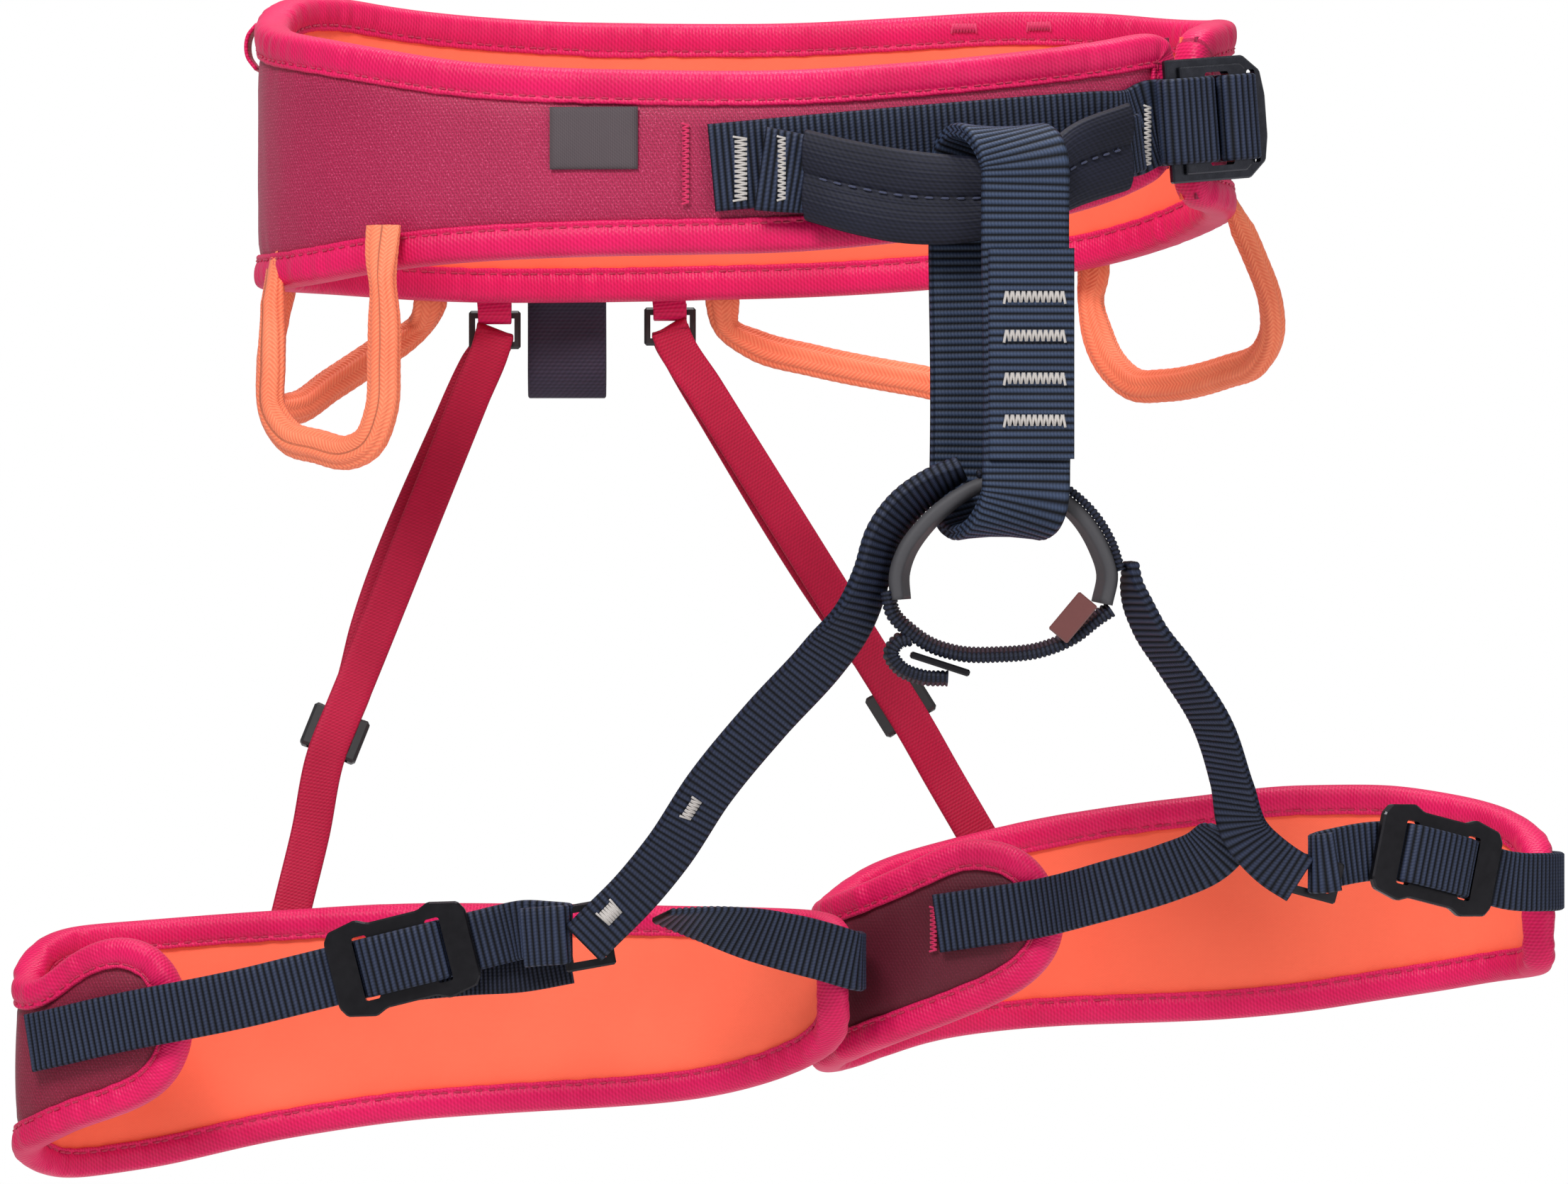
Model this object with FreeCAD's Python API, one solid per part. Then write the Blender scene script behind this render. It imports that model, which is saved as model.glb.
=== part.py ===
"""Women's sport climbing harness, built as separate sewn, moulded and forged pieces.

Millimetres. X to the right, Y from the front to the back, Z up, origin at the middle
of the waist belt. Every soft piece is a band or a strap lofted through rectangular
sections, so its outside, its edges and the hole it goes round are all real.
"""
import FreeCAD, Part
import math
import os

os.makedirs("parts", exist_ok=True)

V = FreeCAD.Vector

# ---- driving sizes ------------------------------------------------------------------
SEAM = 0.3            # glue and stitch line between two sewn layers
RUN = 0.4             # running clearance where a piece slides along a webbing

BELT_A, BELT_B = 142.0, 80.0      # half width and half depth of the waist belt, outside
BELT_N = 2.4                      # a little squarer than an ellipse
SKIN = 1.2                        # mesh and lining cloth
FOAM = 5.0                        # foam core of the pads
LEG_FOAM = 4.0
BIND = 9.5                        # visible height of the edge binding
BIND_T = 1.3                      # how far the binding stands off the cloth

WEB_W, WEB_T = 25.0, 2.2          # waist and belay webbing
LEG_W, LEG_T = 17.0, 1.9          # leg webbing
RISER_W, RISER_T = 11.5, 1.4      # elastic risers
GEAR_R = 5.0                      # gear-loop tube radius

# belt edge heights round the plan, by angle from +X towards the back
BELT_EDGE = [(-26, 36, -14), (-10, 39, -15), (0, 40.5, -16), (15, 41.5, -18.5), (30, 43, -23),
             (45, 45.5, -28), (60, 46.5, -32), (75, 45, -35), (90, 43.3, -37), (105, 43.5, -38),
             (120, 44.8, -38.3), (135, 47, -37.5), (150, 49.5, -36.5), (165, 48, -36.3),
             (180, 41, -36.6), (195, 36, -37), (210, 33, -36), (225, 29, -33), (240, 24.5, -30.5),
             (255, 22.3, -29.2), (270, 21.6, -28.4), (285, 24, -25), (300, 27.5, -20),
             (315, 31.5, -13), (322, 34, -8)]

# leg loops: plan centre, half axes, turn about Z, and the edge heights of the pad
LEG_L = dict(c=(-92.0, -10.0), a=121.4, b=34.0, turn=-5.0,
             edge=[(-8, -227, -246), (0, -222, -252), (25, -219, -263), (55, -218.5, -273.5),
                   (90, -218, -279), (110, -220, -285), (135, -223, -294), (155, -225, -296.5),
                   (172, -231, -293), (184, -239, -289), (200, -240, -286), (215, -230, -280),
                   (225, -226, -276), (231, -228, -272), (235, -234, -267), (238, -245, -258)])
LEG_R = dict(c=(127.85, 13.5), a=107.8, b=42.0, turn=-5.0,
             edge=[(-5, -208, -233), (0, -202, -236), (15, -195, -237.5), (30, -189.5, -239),
                   (45, -186, -242), (60, -183.6, -245.5), (75, -184, -249.5), (90, -187.5, -252),
                   (110, -193, -253.5), (130, -200, -256.7), (150, -207, -263), (165, -214, -266),
                   (180, -218, -266), (195, -216, -264), (210, -212, -260), (225, -205, -254),
                   (238, -198, -247), (246, -200, -241), (251, -208, -234), (253.5, -218, -227)])

# waist buckle: belt angle it sits by, how far it stands off, height; yaw about Z, roll;
# plate half sizes
WB_AT, WB_OUT, WB_Z, WB_YAW, WB_ROLL = 332.1, 9.4, 10.3, 30.0, 5.0
WB_HU, WB_HW, WB_T = 16.6, 17.7, 2.4
# leg buckles, placed the same way beside the leg loops
LB_AT, LB_OUT, LB_Z = 268.9, 3.9, -231.0
LB_YAW, LB_ROLL = -3.0, 14.0
RB_AT, RB_OUT, RB_Z = 310.4, 11.0, -203.0
RB_YAW, RB_ROLL = 30.0, -13.0
LB_T = 2.6

# belay loop
BELAY_Y, BELAY_X = -97.0, 72.0
BELAY_TOP, BELAY_BOT = 5.8, -110.0
BELAY_RO, BELAY_T = 14.0, 4.6
BELAY_SHEAR = -0.62
# tie-in ring under the belay loop
RING_Y, RING_W, RING_T = -98.5, 10.0, 3.8

nodes = {}


def save(name, shape):
    """Write one named sub-part."""
    bad = [s for s in shape.Solids if not s.isValid()]
    print(name, "solids", len(shape.Solids), "vol", round(shape.Volume, 1), "bad", len(bad))
    shape.exportStep("parts/" + name + ".step")
    nodes[name] = shape


# ---- curves -------------------------------------------------------------------------
def smooth(table, t, col):
    """Value at t between the rows of a table, by a monotone cubic through its knots."""
    if t <= table[0][0]:
        return table[0][col]
    if t >= table[-1][0]:
        return table[-1][col]
    for i in range(len(table) - 1):
        t0, t1 = table[i][0], table[i + 1][0]
        if t0 <= t <= t1:
            break
    def slope(k):
        if k <= 0 or k >= len(table) - 1:
            return 0.0
        d0 = (table[k][col] - table[k - 1][col]) / (table[k][0] - table[k - 1][0])
        d1 = (table[k + 1][col] - table[k][col]) / (table[k + 1][0] - table[k][0])
        return 0.0 if d0 * d1 <= 0 else 2 * d0 * d1 / (d0 + d1)
    h = t1 - t0
    s = (t - t0) / h
    y0, y1 = table[i][col], table[i + 1][col]
    m0, m1 = slope(i) * h, slope(i + 1) * h
    return ((2 * s**3 - 3 * s**2 + 1) * y0 + (s**3 - 2 * s**2 + s) * m0
            + (-2 * s**3 + 3 * s**2) * y1 + (s**3 - s**2) * m1)


def oval(a, b, n, t, c=(0.0, 0.0), turn=0.0):
    """Point of a superellipse in plan and its outward normal."""
    ct, st = math.cos(math.radians(t)), math.sin(math.radians(t))
    e = 2.0 / n
    x = a * math.copysign(abs(ct) ** e, ct)
    y = b * math.copysign(abs(st) ** e, st)
    nx = math.copysign(abs(x / a) ** (n - 1), x) / a
    ny = math.copysign(abs(y / b) ** (n - 1), y) / b
    ln = math.hypot(nx, ny)
    nx, ny = nx / ln, ny / ln
    r = math.radians(turn)
    rot = lambda u, v: (u * math.cos(r) - v * math.sin(r), u * math.sin(r) + v * math.cos(r))
    px, py = rot(x, y)
    qx, qy = rot(nx, ny)
    return (px + c[0], py + c[1]), (qx, qy)


def belt_at(t):
    return oval(BELT_A, BELT_B, BELT_N, t)


def leg_at(leg, t):
    return oval(leg["a"], leg["b"], 2.15, t, leg["c"], leg["turn"])


def wire(points):
    return Part.makePolygon([V(*p) for p in points] + [V(*points[0])])


def loft(sections):
    return Part.Solid(Part.makeLoft(sections, True, True).Shells[0])


def band(at, angles, section):
    """Loft of a closed (offset, height) section carried round a plan curve."""
    rings = []
    for t in angles:
        (x, y), (nx, ny) = at(t)
        rings.append(wire([(x + nx * o, y + ny * o, z) for o, z in section(t)]))
    return loft(rings)


def angles(t0, t1, step):
    n = max(2, int(round((t1 - t0) / step)))
    return [t0 + (t1 - t0) * i / n for i in range(n + 1)]


def catmull(points, per=4):
    """Smooth path through points (tuples), Catmull-Rom."""
    out = []
    p = [points[0]] + list(points) + [points[-1]]
    for i in range(1, len(p) - 2):
        for k in range(per):
            s = k / per
            out.append(tuple(0.5 * (2 * b + (c - a) * s + (2 * a - 5 * b + 4 * c - d) * s**2
                                    + (3 * b - a - 3 * c + d) * s**3)
                             for a, b, c, d in zip(p[i - 1], p[i], p[i + 1], p[i + 2])))
    out.append(tuple(points[-1]))
    return out


def strap(path, width, thick, across, per=4):
    """Flat webbing along a path. Rows of the path are x, y, z; across gives the
    direction of the width, one for all or one a row."""
    many = isinstance(across, list)
    rows = [tuple(p) + tuple(across[i] if many else across) for i, p in enumerate(path)]
    rows = catmull(rows, per)
    sec = []
    for i, r in enumerate(rows):
        a, b = rows[max(0, i - 1)], rows[min(len(rows) - 1, i + 1)]
        tan = V(*b[:3]).sub(V(*a[:3])).normalize()
        w = V(*r[3:])
        w = w.sub(tan * w.dot(tan)).normalize()
        nrm = tan.cross(w)
        p = V(*r[:3])
        cs = [p + w * (sx * width / 2) + nrm * (sn * thick / 2)
              for sx, sn in ((-1, -1), (1, -1), (1, 1), (-1, 1))]
        sec.append(Part.makePolygon(cs + [cs[0]]))
    return loft(sec)


def braid_tube(path, outs):
    """Braided tube: round in the run, pressed flat at both sewn ends."""
    rows = catmull([tuple(p) + tuple(o) for p, o in zip(path, outs)], 2)
    n = len(rows) - 1
    sec = []
    for i, r in enumerate(rows):
        a, b = rows[max(0, i - 1)], rows[min(n, i + 1)]
        tan = V(*b[:3]).sub(V(*a[:3])).normalize()
        out = V(*r[3:])
        out = out.sub(tan * out.dot(tan)).normalize()
        side = tan.cross(out)
        flat = max(0.0, 1.0 - min(i, n - i) / 3.6)
        rt = GEAR_R - (GEAR_R - 1.6) * flat ** 0.8
        rw = GEAR_R + 0.5 * flat
        p = V(*r[:3])
        cs = [p + out * (rt * math.cos(k * math.pi / 5)) + side * (rw * math.sin(k * math.pi / 5))
              for k in range(10)]
        sec.append(Part.makePolygon(cs + [cs[0]]))
    return loft(sec)


# ---- pads ---------------------------------------------------------------------------
def pad_layers(at, edge, t0, t1, foam, step):
    """Mesh skin outside, foam, lining inside; the foam's edges stop inside the binding."""
    top = lambda t: smooth(edge, t, 1)
    bot = lambda t: smooth(edge, t, 2)
    ts = angles(t0, t1, step)
    def layer(o0, o1, trim):
        return band(at, ts, lambda t: [(o0, bot(t) + trim), (o0, top(t) - trim),
                                       (o1, top(t) - trim), (o1, bot(t) + trim)])
    skin = layer(0.0, -SKIN, 1.0)
    core = layer(-SKIN - SEAM, -SKIN - SEAM - foam, 1.0)
    lining = layer(-SKIN - 2 * SEAM - foam, -2 * SKIN - 2 * SEAM - foam, 1.0)
    depth = 2 * SKIN + 2 * SEAM + foam
    o_out, o_in = SEAM, -depth - SEAM
    def binding(up):
        def section(t):
            e = top(t) if up else bot(t)
            s = 1 if up else -1
            room = (top(t) - bot(t)) / 2 - 1.0
            h = min(BIND, room)
            pts = [(o_out + BIND_T, e - s * h), (o_out + BIND_T, e + s * 0.5),
                   (o_out + BIND_T - 1.2, e + s * 1.5), (o_in - BIND_T + 1.2, e + s * 1.5),
                   (o_in - BIND_T, e + s * 0.5), (o_in - BIND_T, e - s * h),
                   (o_in, e - s * h), (o_in, e - s * 0.7), (o_out, e - s * 0.7),
                   (o_out, e - s * h)]
            return pts
        return band(at, ts, section)
    return skin, core, lining, binding(True), binding(False), depth


def end_cap(at, edge, t_end, sign, depth):
    """Binding turned over a pad's end: a small upright strip at the end face."""
    t_a = t_end + sign * 0.35
    t_b = t_end + sign * 1.9
    lo, hi = smooth(edge, t_end, 2), smooth(edge, t_end, 1)
    ts = [t_a, (t_a + t_b) / 2, t_b] if sign > 0 else [t_b, (t_a + t_b) / 2, t_a]
    return band(at, ts, lambda t: [(SEAM + BIND_T, lo), (SEAM + BIND_T, hi),
                                   (-depth - SEAM - BIND_T, hi), (-depth - SEAM - BIND_T, lo)])


def waist_belt():
    t0, t1 = BELT_EDGE[0][0], BELT_EDGE[-1][0]
    skin, core, lining, up, down, depth = pad_layers(belt_at, BELT_EDGE, t0, t1, FOAM, 6)
    save("waist_mesh", skin)
    save("waist_foam", core)
    save("waist_lining", lining)
    caps = [end_cap(belt_at, BELT_EDGE, t0, -1, depth), end_cap(belt_at, BELT_EDGE, t1, 1, depth)]
    save("waist_binding", Part.makeCompound([up, down] + caps))


def leg_pad(leg, side):
    at = lambda t: leg_at(leg, t)
    t0, t1 = leg["edge"][0][0], leg["edge"][-1][0]
    skin, core, lining, up, down, depth = pad_layers(at, leg["edge"], t0, t1, LEG_FOAM, 6)
    save("leg_mesh_" + side, skin)
    save("leg_foam_" + side, core)
    save("leg_lining_" + side, lining)
    caps = [end_cap(at, leg["edge"], t0, -1, depth), end_cap(at, leg["edge"], t1, 1, depth)]
    save("leg_binding_" + side, Part.makeCompound([up, down] + caps))


# ---- local frames -------------------------------------------------------------------
def frame_of(c, yaw, roll):
    """Placement whose local X runs along the webbing, Z across it, Y into the body."""
    r = FreeCAD.Rotation(V(0, 0, 1), yaw).multiply(FreeCAD.Rotation(V(0, 1, 0), -roll))
    return FreeCAD.Placement(c, r)


def beside(at, t, out, z):
    """Place beside a plan curve: at its angle, a distance outwards, at a height."""
    (x, y), (nx, ny) = at(t)
    return V(x + nx * out, y + ny * out, z)


def put(shape, pl):
    s = shape.copy()
    s.Placement = pl.multiply(s.Placement)
    return s


def plate(outline, y0, y1, windows, chamfer=0.5):
    """Flat metal plate: outline in local X, Z, with windows, edges broken."""
    face = Part.Face(wire([(u, y0, w) for u, w in outline]))
    body = face.extrude(V(0, y1 - y0, 0))
    body = body.makeChamfer(chamfer, body.Edges)
    for u0, u1, h in windows:
        cut = Part.makeBox(u1 - u0, y1 - y0 + 4, 2 * h, V(u0, y0 - 2, -h))
        cut = cut.makeFillet(0.8, [e for e in cut.Edges if abs(e.tangentAt(e.FirstParameter).y) > 0.9])
        body = body.cut(cut)
    return body


def local_strap(path_un, width, thick):
    """Webbing threaded through a plate: path in local (along, out of the front)."""
    return strap([(u, -n, 0.0) for u, n in path_un], width, thick, (0, 0, 1), 3)


# ---- waist webbing and buckle -------------------------------------------------------
WEB_OFF = SEAM + BIND_T + RUN + WEB_T / 2      # webbing centre outside the mesh
REAR_N = -(WB_T / 2 + RUN + WEB_T / 2)         # layer that runs straight behind the plate
WB_PL = frame_of(beside(belt_at, WB_AT, WB_OUT, WB_Z), WB_YAW, WB_ROLL)


def web_height(x):
    """Height of the middle of the waist webbing, rising to the buckle."""
    return -4.4 + 0.092 * x


def waist_webbing():
    pts, acr = [], []
    for t in angles(267.8, 318.0, 8):
        (x, y), (nx, ny) = belt_at(t)
        pts.append((x + nx * WEB_OFF, y + ny * WEB_OFF, web_height(x)))
        acr.append((0, 0, 1))
    for u in (-15.0, 0.0, 8.0, 15.4):
        p = WB_PL.multVec(V(u, -REAR_N, 0))
        pts.append((p.x, p.y, p.z))
        w = WB_PL.Rotation.multVec(V(0, 0, 1))
        acr.append((w.x, w.y, w.z))
    save("waist_webbing", strap(pts, WEB_W, WEB_T, acr, 3))
    far = []
    for t in (14.0, 2.0, -8.0, -15.0):
        (x, y), (nx, ny) = belt_at(t)
        far.append((x + nx * WEB_OFF, y + ny * WEB_OFF, 9.0))
    p = WB_PL.multVec(V(12.0, -REAR_N + WEB_T / 2 + WEB_T / 2 + 0.8, 0))
    far.append((p.x, p.y, 9.5))
    save("waist_webbing_far", strap(far, WEB_W, WEB_T, (0, 0, 1), 3))


def waist_buckle():
    hu, hw, half = WB_HU, WB_HW, WB_T / 2
    outline = [(-hu, -hw), (9.8, -hw), (15.4, -13.0), (hu, -6.0), (hu, 6.0), (15.4, 13.0),
               (9.8, hw), (-hu, hw)]
    slot, back = (-4.6, 3.4, 13.4), (10.6, 13.4, 13.4)
    frame = plate(outline, -half, half, [slot, back])
    inner = [(-12.8, -15.4), (7.6, -15.4), (9.6, -13.6), (9.6, 13.6), (7.6, 15.4), (-12.8, 15.4)]
    top = plate(inner, -half - 0.1 - 1.6, -half - 0.1, [slot], 0.4)
    save("waist_buckle_frame", put(frame, WB_PL))
    save("waist_buckle_plate", put(top, WB_PL))
    over = half + 0.1 + 1.6 + 0.3 + WEB_T / 2
    left = [(-18.6, -0.2), (-18.4, 1.2), (-17.4, over - 1.3), (-15.2, over - 0.2),
            (-11.5, over + 0.3), (-7.0, over + 0.4), (-4.4, over + 0.1), (-2.8, over - 1.4),
            (-2.6, over - 3.2), (-2.6, -half + 0.2)]
    right = [(1.2, -half + 0.2), (1.2, over - 1.9), (2.4, over - 0.1), (4.6, over + 0.3),
             (8.0, over + 0.3), (10.6, over - 0.5), (12.0, over - 2.6), (12.0, -half + 0.2)]
    web = [local_strap(left, WEB_W - 0.4, WEB_T), local_strap(right, WEB_W - 0.4, WEB_T - 0.2)]
    save("waist_buckle_web", put(Part.makeCompound(web), WB_PL))


# ---- leg buckles --------------------------------------------------------------------
def leg_buckle(side, pl):
    half = LB_T / 2
    q = [(21.0, 9.6), (19.2, 12.4), (10.9, 14.2), (7.4, 12.6)]
    outline = ([(-u, w) for u, w in q] + [(u, w) for u, w in reversed(q)]
               + [(u, -w) for u, w in q] + [(-u, -w) for u, w in reversed(q)])
    frame = plate(outline, -half, half, [(-13.0, -8.6, 9.3), (8.6, 13.0, 9.3)])
    save("leg_buckle_frame_" + side, put(frame, pl))
    over = half + 0.3 + LEG_T / 2
    path = [(-11.6, -half + 0.2), (-11.4, 1.0), (-9.6, over), (-5.0, over + 0.7), (0.0, over + 0.9),
            (5.0, over + 0.7), (9.6, over), (11.4, 1.0), (11.6, -half + 0.2)]
    save("leg_buckle_web_" + side, put(local_strap(path, LEG_W, LEG_T), pl))


LB_PL = frame_of(beside(lambda t: leg_at(LEG_L, t), LB_AT, LB_OUT, LB_Z), LB_YAW, LB_ROLL)
RB_PL = frame_of(beside(lambda t: leg_at(LEG_R, t), RB_AT, RB_OUT, RB_Z), RB_YAW, RB_ROLL)
LEG_REAR = -(LB_T / 2 + RUN + LEG_T / 2)


def at_plate(pl, u, n, w=0.0):
    p = pl.multVec(V(u, -n, w))
    return (p.x, p.y, p.z)


def across_of(pl):
    w = pl.Rotation.multVec(V(0, 0, 1))
    return (w.x, w.y, w.z)


def leg_webbing_left():
    """From the left end of the pad, under the buckle, to the metal link at the crotch."""
    off = SEAM + BIND_T + 2 * RUN + 0.8 + LEG_T / 2
    pts, acr = [], []
    for t, z in ((203, -256.5), (212, -254.5), (222, -251.5)):
        (x, y), (nx, ny) = leg_at(LEG_L, t)
        pts.append((x + nx * off, y + ny * off, z))
        acr.append((0, 0, 1))
    for u in (-42.0, -37.0, -31.0, -24.0, 0.0, 24.0):
        pts.append(at_plate(LB_PL, u, LEG_REAR))
        acr.append(across_of(LB_PL))
    pts.append((-60.0, -47.0, -222.5))
    acr.append((0, 0, 1))
    pts.append((-49.0, -48.0, -223.5))
    acr.append((0, 0, 1))
    save("leg_webbing_buckle_left", strap(pts, LEG_W, LEG_T, acr, 2))
    tail = [(-96.0, -40.8, -238.0), (-80.0, -41.5, -236.5), (-64.0, -42.0, -235.5),
            (-50.0, -42.5, -233.0)]
    save("leg_tail_left", strap(tail, LEG_W * 0.62, LEG_T, (0, 0, 1), 2))
    off_r = SEAM + BIND_T + 2 * RUN + 1.6 + LEG_T / 2
    run = [(-24.0, -50.0, -218.5), (-8.0, -45.0, -221.5), (8.0, -38.0, -225.5), (21.5, -33.2, -229.0)]
    acr = [(0.15, -0.97, 0.2), (0.1, -0.75, 0.66), (0, -0.35, 0.94), (0, 0, 1)]
    for t in (-6, 6, 18):
        (x, y), (nx, ny) = leg_at(LEG_L, t)
        run.append((x + nx * off_r, y + ny * off_r, -232.5))
        acr.append((0, 0, 1))
    save("leg_webbing_crotch_left", strap(run, LEG_W, LEG_T, acr, 3))


def leg_webbing_right():
    off = SEAM + BIND_T + RUN + LEG_T / 2
    run, acr = [], []
    for t in (232, 240, 248):
        (x, y), (nx, ny) = leg_at(LEG_R, t)
        run.append((x + nx * off, y + ny * off, -220.5 + (x - 64) * 0.155))
        acr.append((0, 0, 1))
    run += [(104.0, -42.5, -211.5), (124.0, -46.0, -205.5), (139.0, -48.5, -200.0)]
    acr += [(0, 0, 1), (0, -0.2, 0.98), (0.1, -0.5, 0.86)]
    save("leg_webbing_crotch_right", strap(run, LEG_W, LEG_T, acr, 3))
    pts = [(162.0, -48.5, -200.0), (169.0, -48.8, -199.0)]
    acr = [(0, 0, 1), (0, 0, 1)]
    for u in (-19.0, 0.0, 19.0, 27.0):
        pts.append(at_plate(RB_PL, u, LEG_REAR))
        acr.append(across_of(RB_PL))
    for t in (-14, -2, 10, 22):
        (x, y), (nx, ny) = leg_at(LEG_R, t)
        pts.append((x + nx * off, y + ny * off, -210.0))
        acr.append((0, 0, 1))
    save("leg_webbing_buckle_right", strap(pts, LEG_W, LEG_T, acr, 2))


# ---- front: sleeve, belay loop, ring ------------------------------------------------
SLEEVE = [(17.5, -87.5, -7.5, 26.0), (30.0, -93.0, -11.0, 26.5), (46.0, -96.5, -14.0, 26.5),
          (60.0, -98.0, -14.8, 25.0), (76.0, -97.0, -13.6, 21.6),
          (84.0, -93.0, -11.0, 22.2), (92.0, -87.0, -5.6, 24.0),
          (109.0, -73.0, 1.2, 25.0)]


def sleeve():
    """Grosgrain tube round the tie-in webbing, sagging off the belt at the front."""
    rows = catmull([tuple(r) for r in SLEEVE], 3)
    outer, inner = [], []
    for i, r in enumerate(rows):
        a, b = rows[max(0, i - 1)], rows[min(len(rows) - 1, i + 1)]
        tx, ty = b[0] - a[0], b[1] - a[1]
        ln = math.hypot(tx, ty)
        nx, ny = -ty / ln, tx / ln
        for store, half_t, half_h in ((outer, 3.4, r[3] / 2), (inner, 1.9, r[3] / 2 - 1.6)):
            oct_ = [(-half_t, -half_h + 2), (-half_t, half_h - 2), (-half_t + 1.4, half_h),
                    (half_t - 1.4, half_h), (half_t, half_h - 2), (half_t, -half_h + 2),
                    (half_t - 1.4, -half_h), (-half_t + 1.4, -half_h)]
            store.append(wire([(r[0] + nx * o, r[1] + ny * o, r[2] + z) for o, z in oct_]))
    tube_ = loft(outer).cut(loft(inner))
    save("tie_in_sleeve", tube_)
    core = [(x, y, z) for x, y, z, h in SLEEVE]
    ends = [(4.5, -86.4, -5.6)] + core + [(113.0, -67.6, 2.8)]
    save("tie_in_webbing", strap(ends, WEB_W - 8.5, 2.0, (0, 0, 1), 3))


def shear_x(shape, k, y0):
    m = FreeCAD.Matrix()
    m.A12 = k
    m.A14 = -k * y0
    return shape.transformGeometry(m)


def stadium(r, top, bot, x0, x1):
    """Rounded upright slab in the YZ plane."""
    y = BELAY_Y
    a = Part.makeLine(V(x0, y - r, bot + r), V(x0, y - r, top - r))
    b = Part.Arc(V(x0, y - r, top - r), V(x0, y, top), V(x0, y + r, top - r)).toShape()
    c = Part.makeLine(V(x0, y + r, top - r), V(x0, y + r, bot + r))
    d = Part.Arc(V(x0, y + r, bot + r), V(x0, y, bot), V(x0, y - r, bot + r)).toShape()
    return Part.Face(Part.Wire([a, b, c, d])).extrude(V(x1 - x0, 0, 0))


def belay_loop():
    x0, x1 = BELAY_X - WEB_W / 2, BELAY_X + WEB_W / 2
    full = stadium(BELAY_RO, BELAY_TOP, BELAY_BOT, x0, x1)
    ri = BELAY_RO - BELAY_T
    hole = stadium(ri, BELAY_TOP - BELAY_T, BELAY_BOT + BELAY_T, x0 - 5, x1 + 5)
    save("belay_loop", shear_x(full.cut(hole), BELAY_SHEAR, BELAY_Y))
    front = BELAY_Y - BELAY_RO
    lap = Part.makeBox(WEB_W - 1.0, 1.6, 59.0, V(x0 + 0.5, front - 1.8, -88.5))
    save("belay_lap", shear_x(lap, BELAY_SHEAR, BELAY_Y))
    tacks = []
    for z in (-42.7, -53.6, -65.6, -77.4):
        tacks.append(Part.makeBox(17.5, 0.7, 4.6, V(x0 + 6.2, front - 2.7, z - 2.3)))
    save("belay_bartacks", shear_x(Part.makeCompound(tacks), BELAY_SHEAR, BELAY_Y))


RING_MID = [(43.2, -127.8), (42.9, -120.5), (45.2, -113.8), (50.0, -107.2), (57.0, -100.8),
            (66.0, -95.6), (78.0, -94.0), (88.5, -98.6), (95.8, -105.0), (100.6, -112.5),
            (103.3, -120.5), (101.8, -129.0)]


def offset_path(path, d):
    """Move a planar path sideways by d, away from the ring's middle."""
    out = []
    for i, p in enumerate(path):
        a, b = path[max(0, i - 1)], path[min(len(path) - 1, i + 1)]
        tx, tz = b[0] - a[0], b[1] - a[1]
        ln = math.hypot(tx, tz)
        out.append((p[0] - tz / ln * d, p[1] + tx / ln * d))
    return out


def ring():
    liner = [(x, RING_Y, z) for x, z in RING_MID]
    save("ring_liner", strap(liner, RING_W, RING_T, (0, 1, 0), 2))
    web = [(x, RING_Y, z) for x, z in offset_path(RING_MID[5:-1], RING_T / 2 + SEAM + 1.1)]
    save("ring_web", strap(web, RING_W, 2.2, (0, 1, 0), 3))
    lower = [(40.5, -130.5), (45.5, -135.6), (51.5, -140.0), (60.0, -142.8), (72.0, -143.2),
             (84.0, -141.8), (93.0, -138.0), (99.6, -132.8)]
    save("crotch_strap", strap([(x, RING_Y, z) for x, z in lower], 11.0, 2.4, (0, 1, 0), 3))
    pl = FreeCAD.Placement(V(55.2, RING_Y, -145.9), FreeCAD.Rotation(V(0, 1, 0), 18.0))
    bar = Part.makeBox(17.5, 14.0, 2.0, V(-8.75, -7.0, -1.0))
    bar = bar.makeChamfer(0.5, bar.Edges)
    for x0 in (-6.6, 1.6):
        bar = bar.cut(Part.makeBox(5.0, 11.4, 6.0, V(x0, -5.7, -3.0)))
    save("crotch_slider", put(bar, pl))
    tail = [(43.5, -140.0), (41.4, -143.0), (44.6, -147.2), (50.5, -149.8), (57.5, -150.0)]
    save("crotch_tail", strap([(x, RING_Y, z) for x, z in tail], 10.5, 2.2, (0, 1, 0), 3))
    pl = FreeCAD.Placement(V(92.6, RING_Y - 6.6, -132.8), FreeCAD.Rotation(V(0, 1, 0), -50.0))
    flap = Part.makeBox(13.6, 1.4, 6.8, V(-6.8, -0.7, -3.4))
    save("ring_flap", put(flap.makeChamfer(0.4, flap.Edges), pl))


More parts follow.
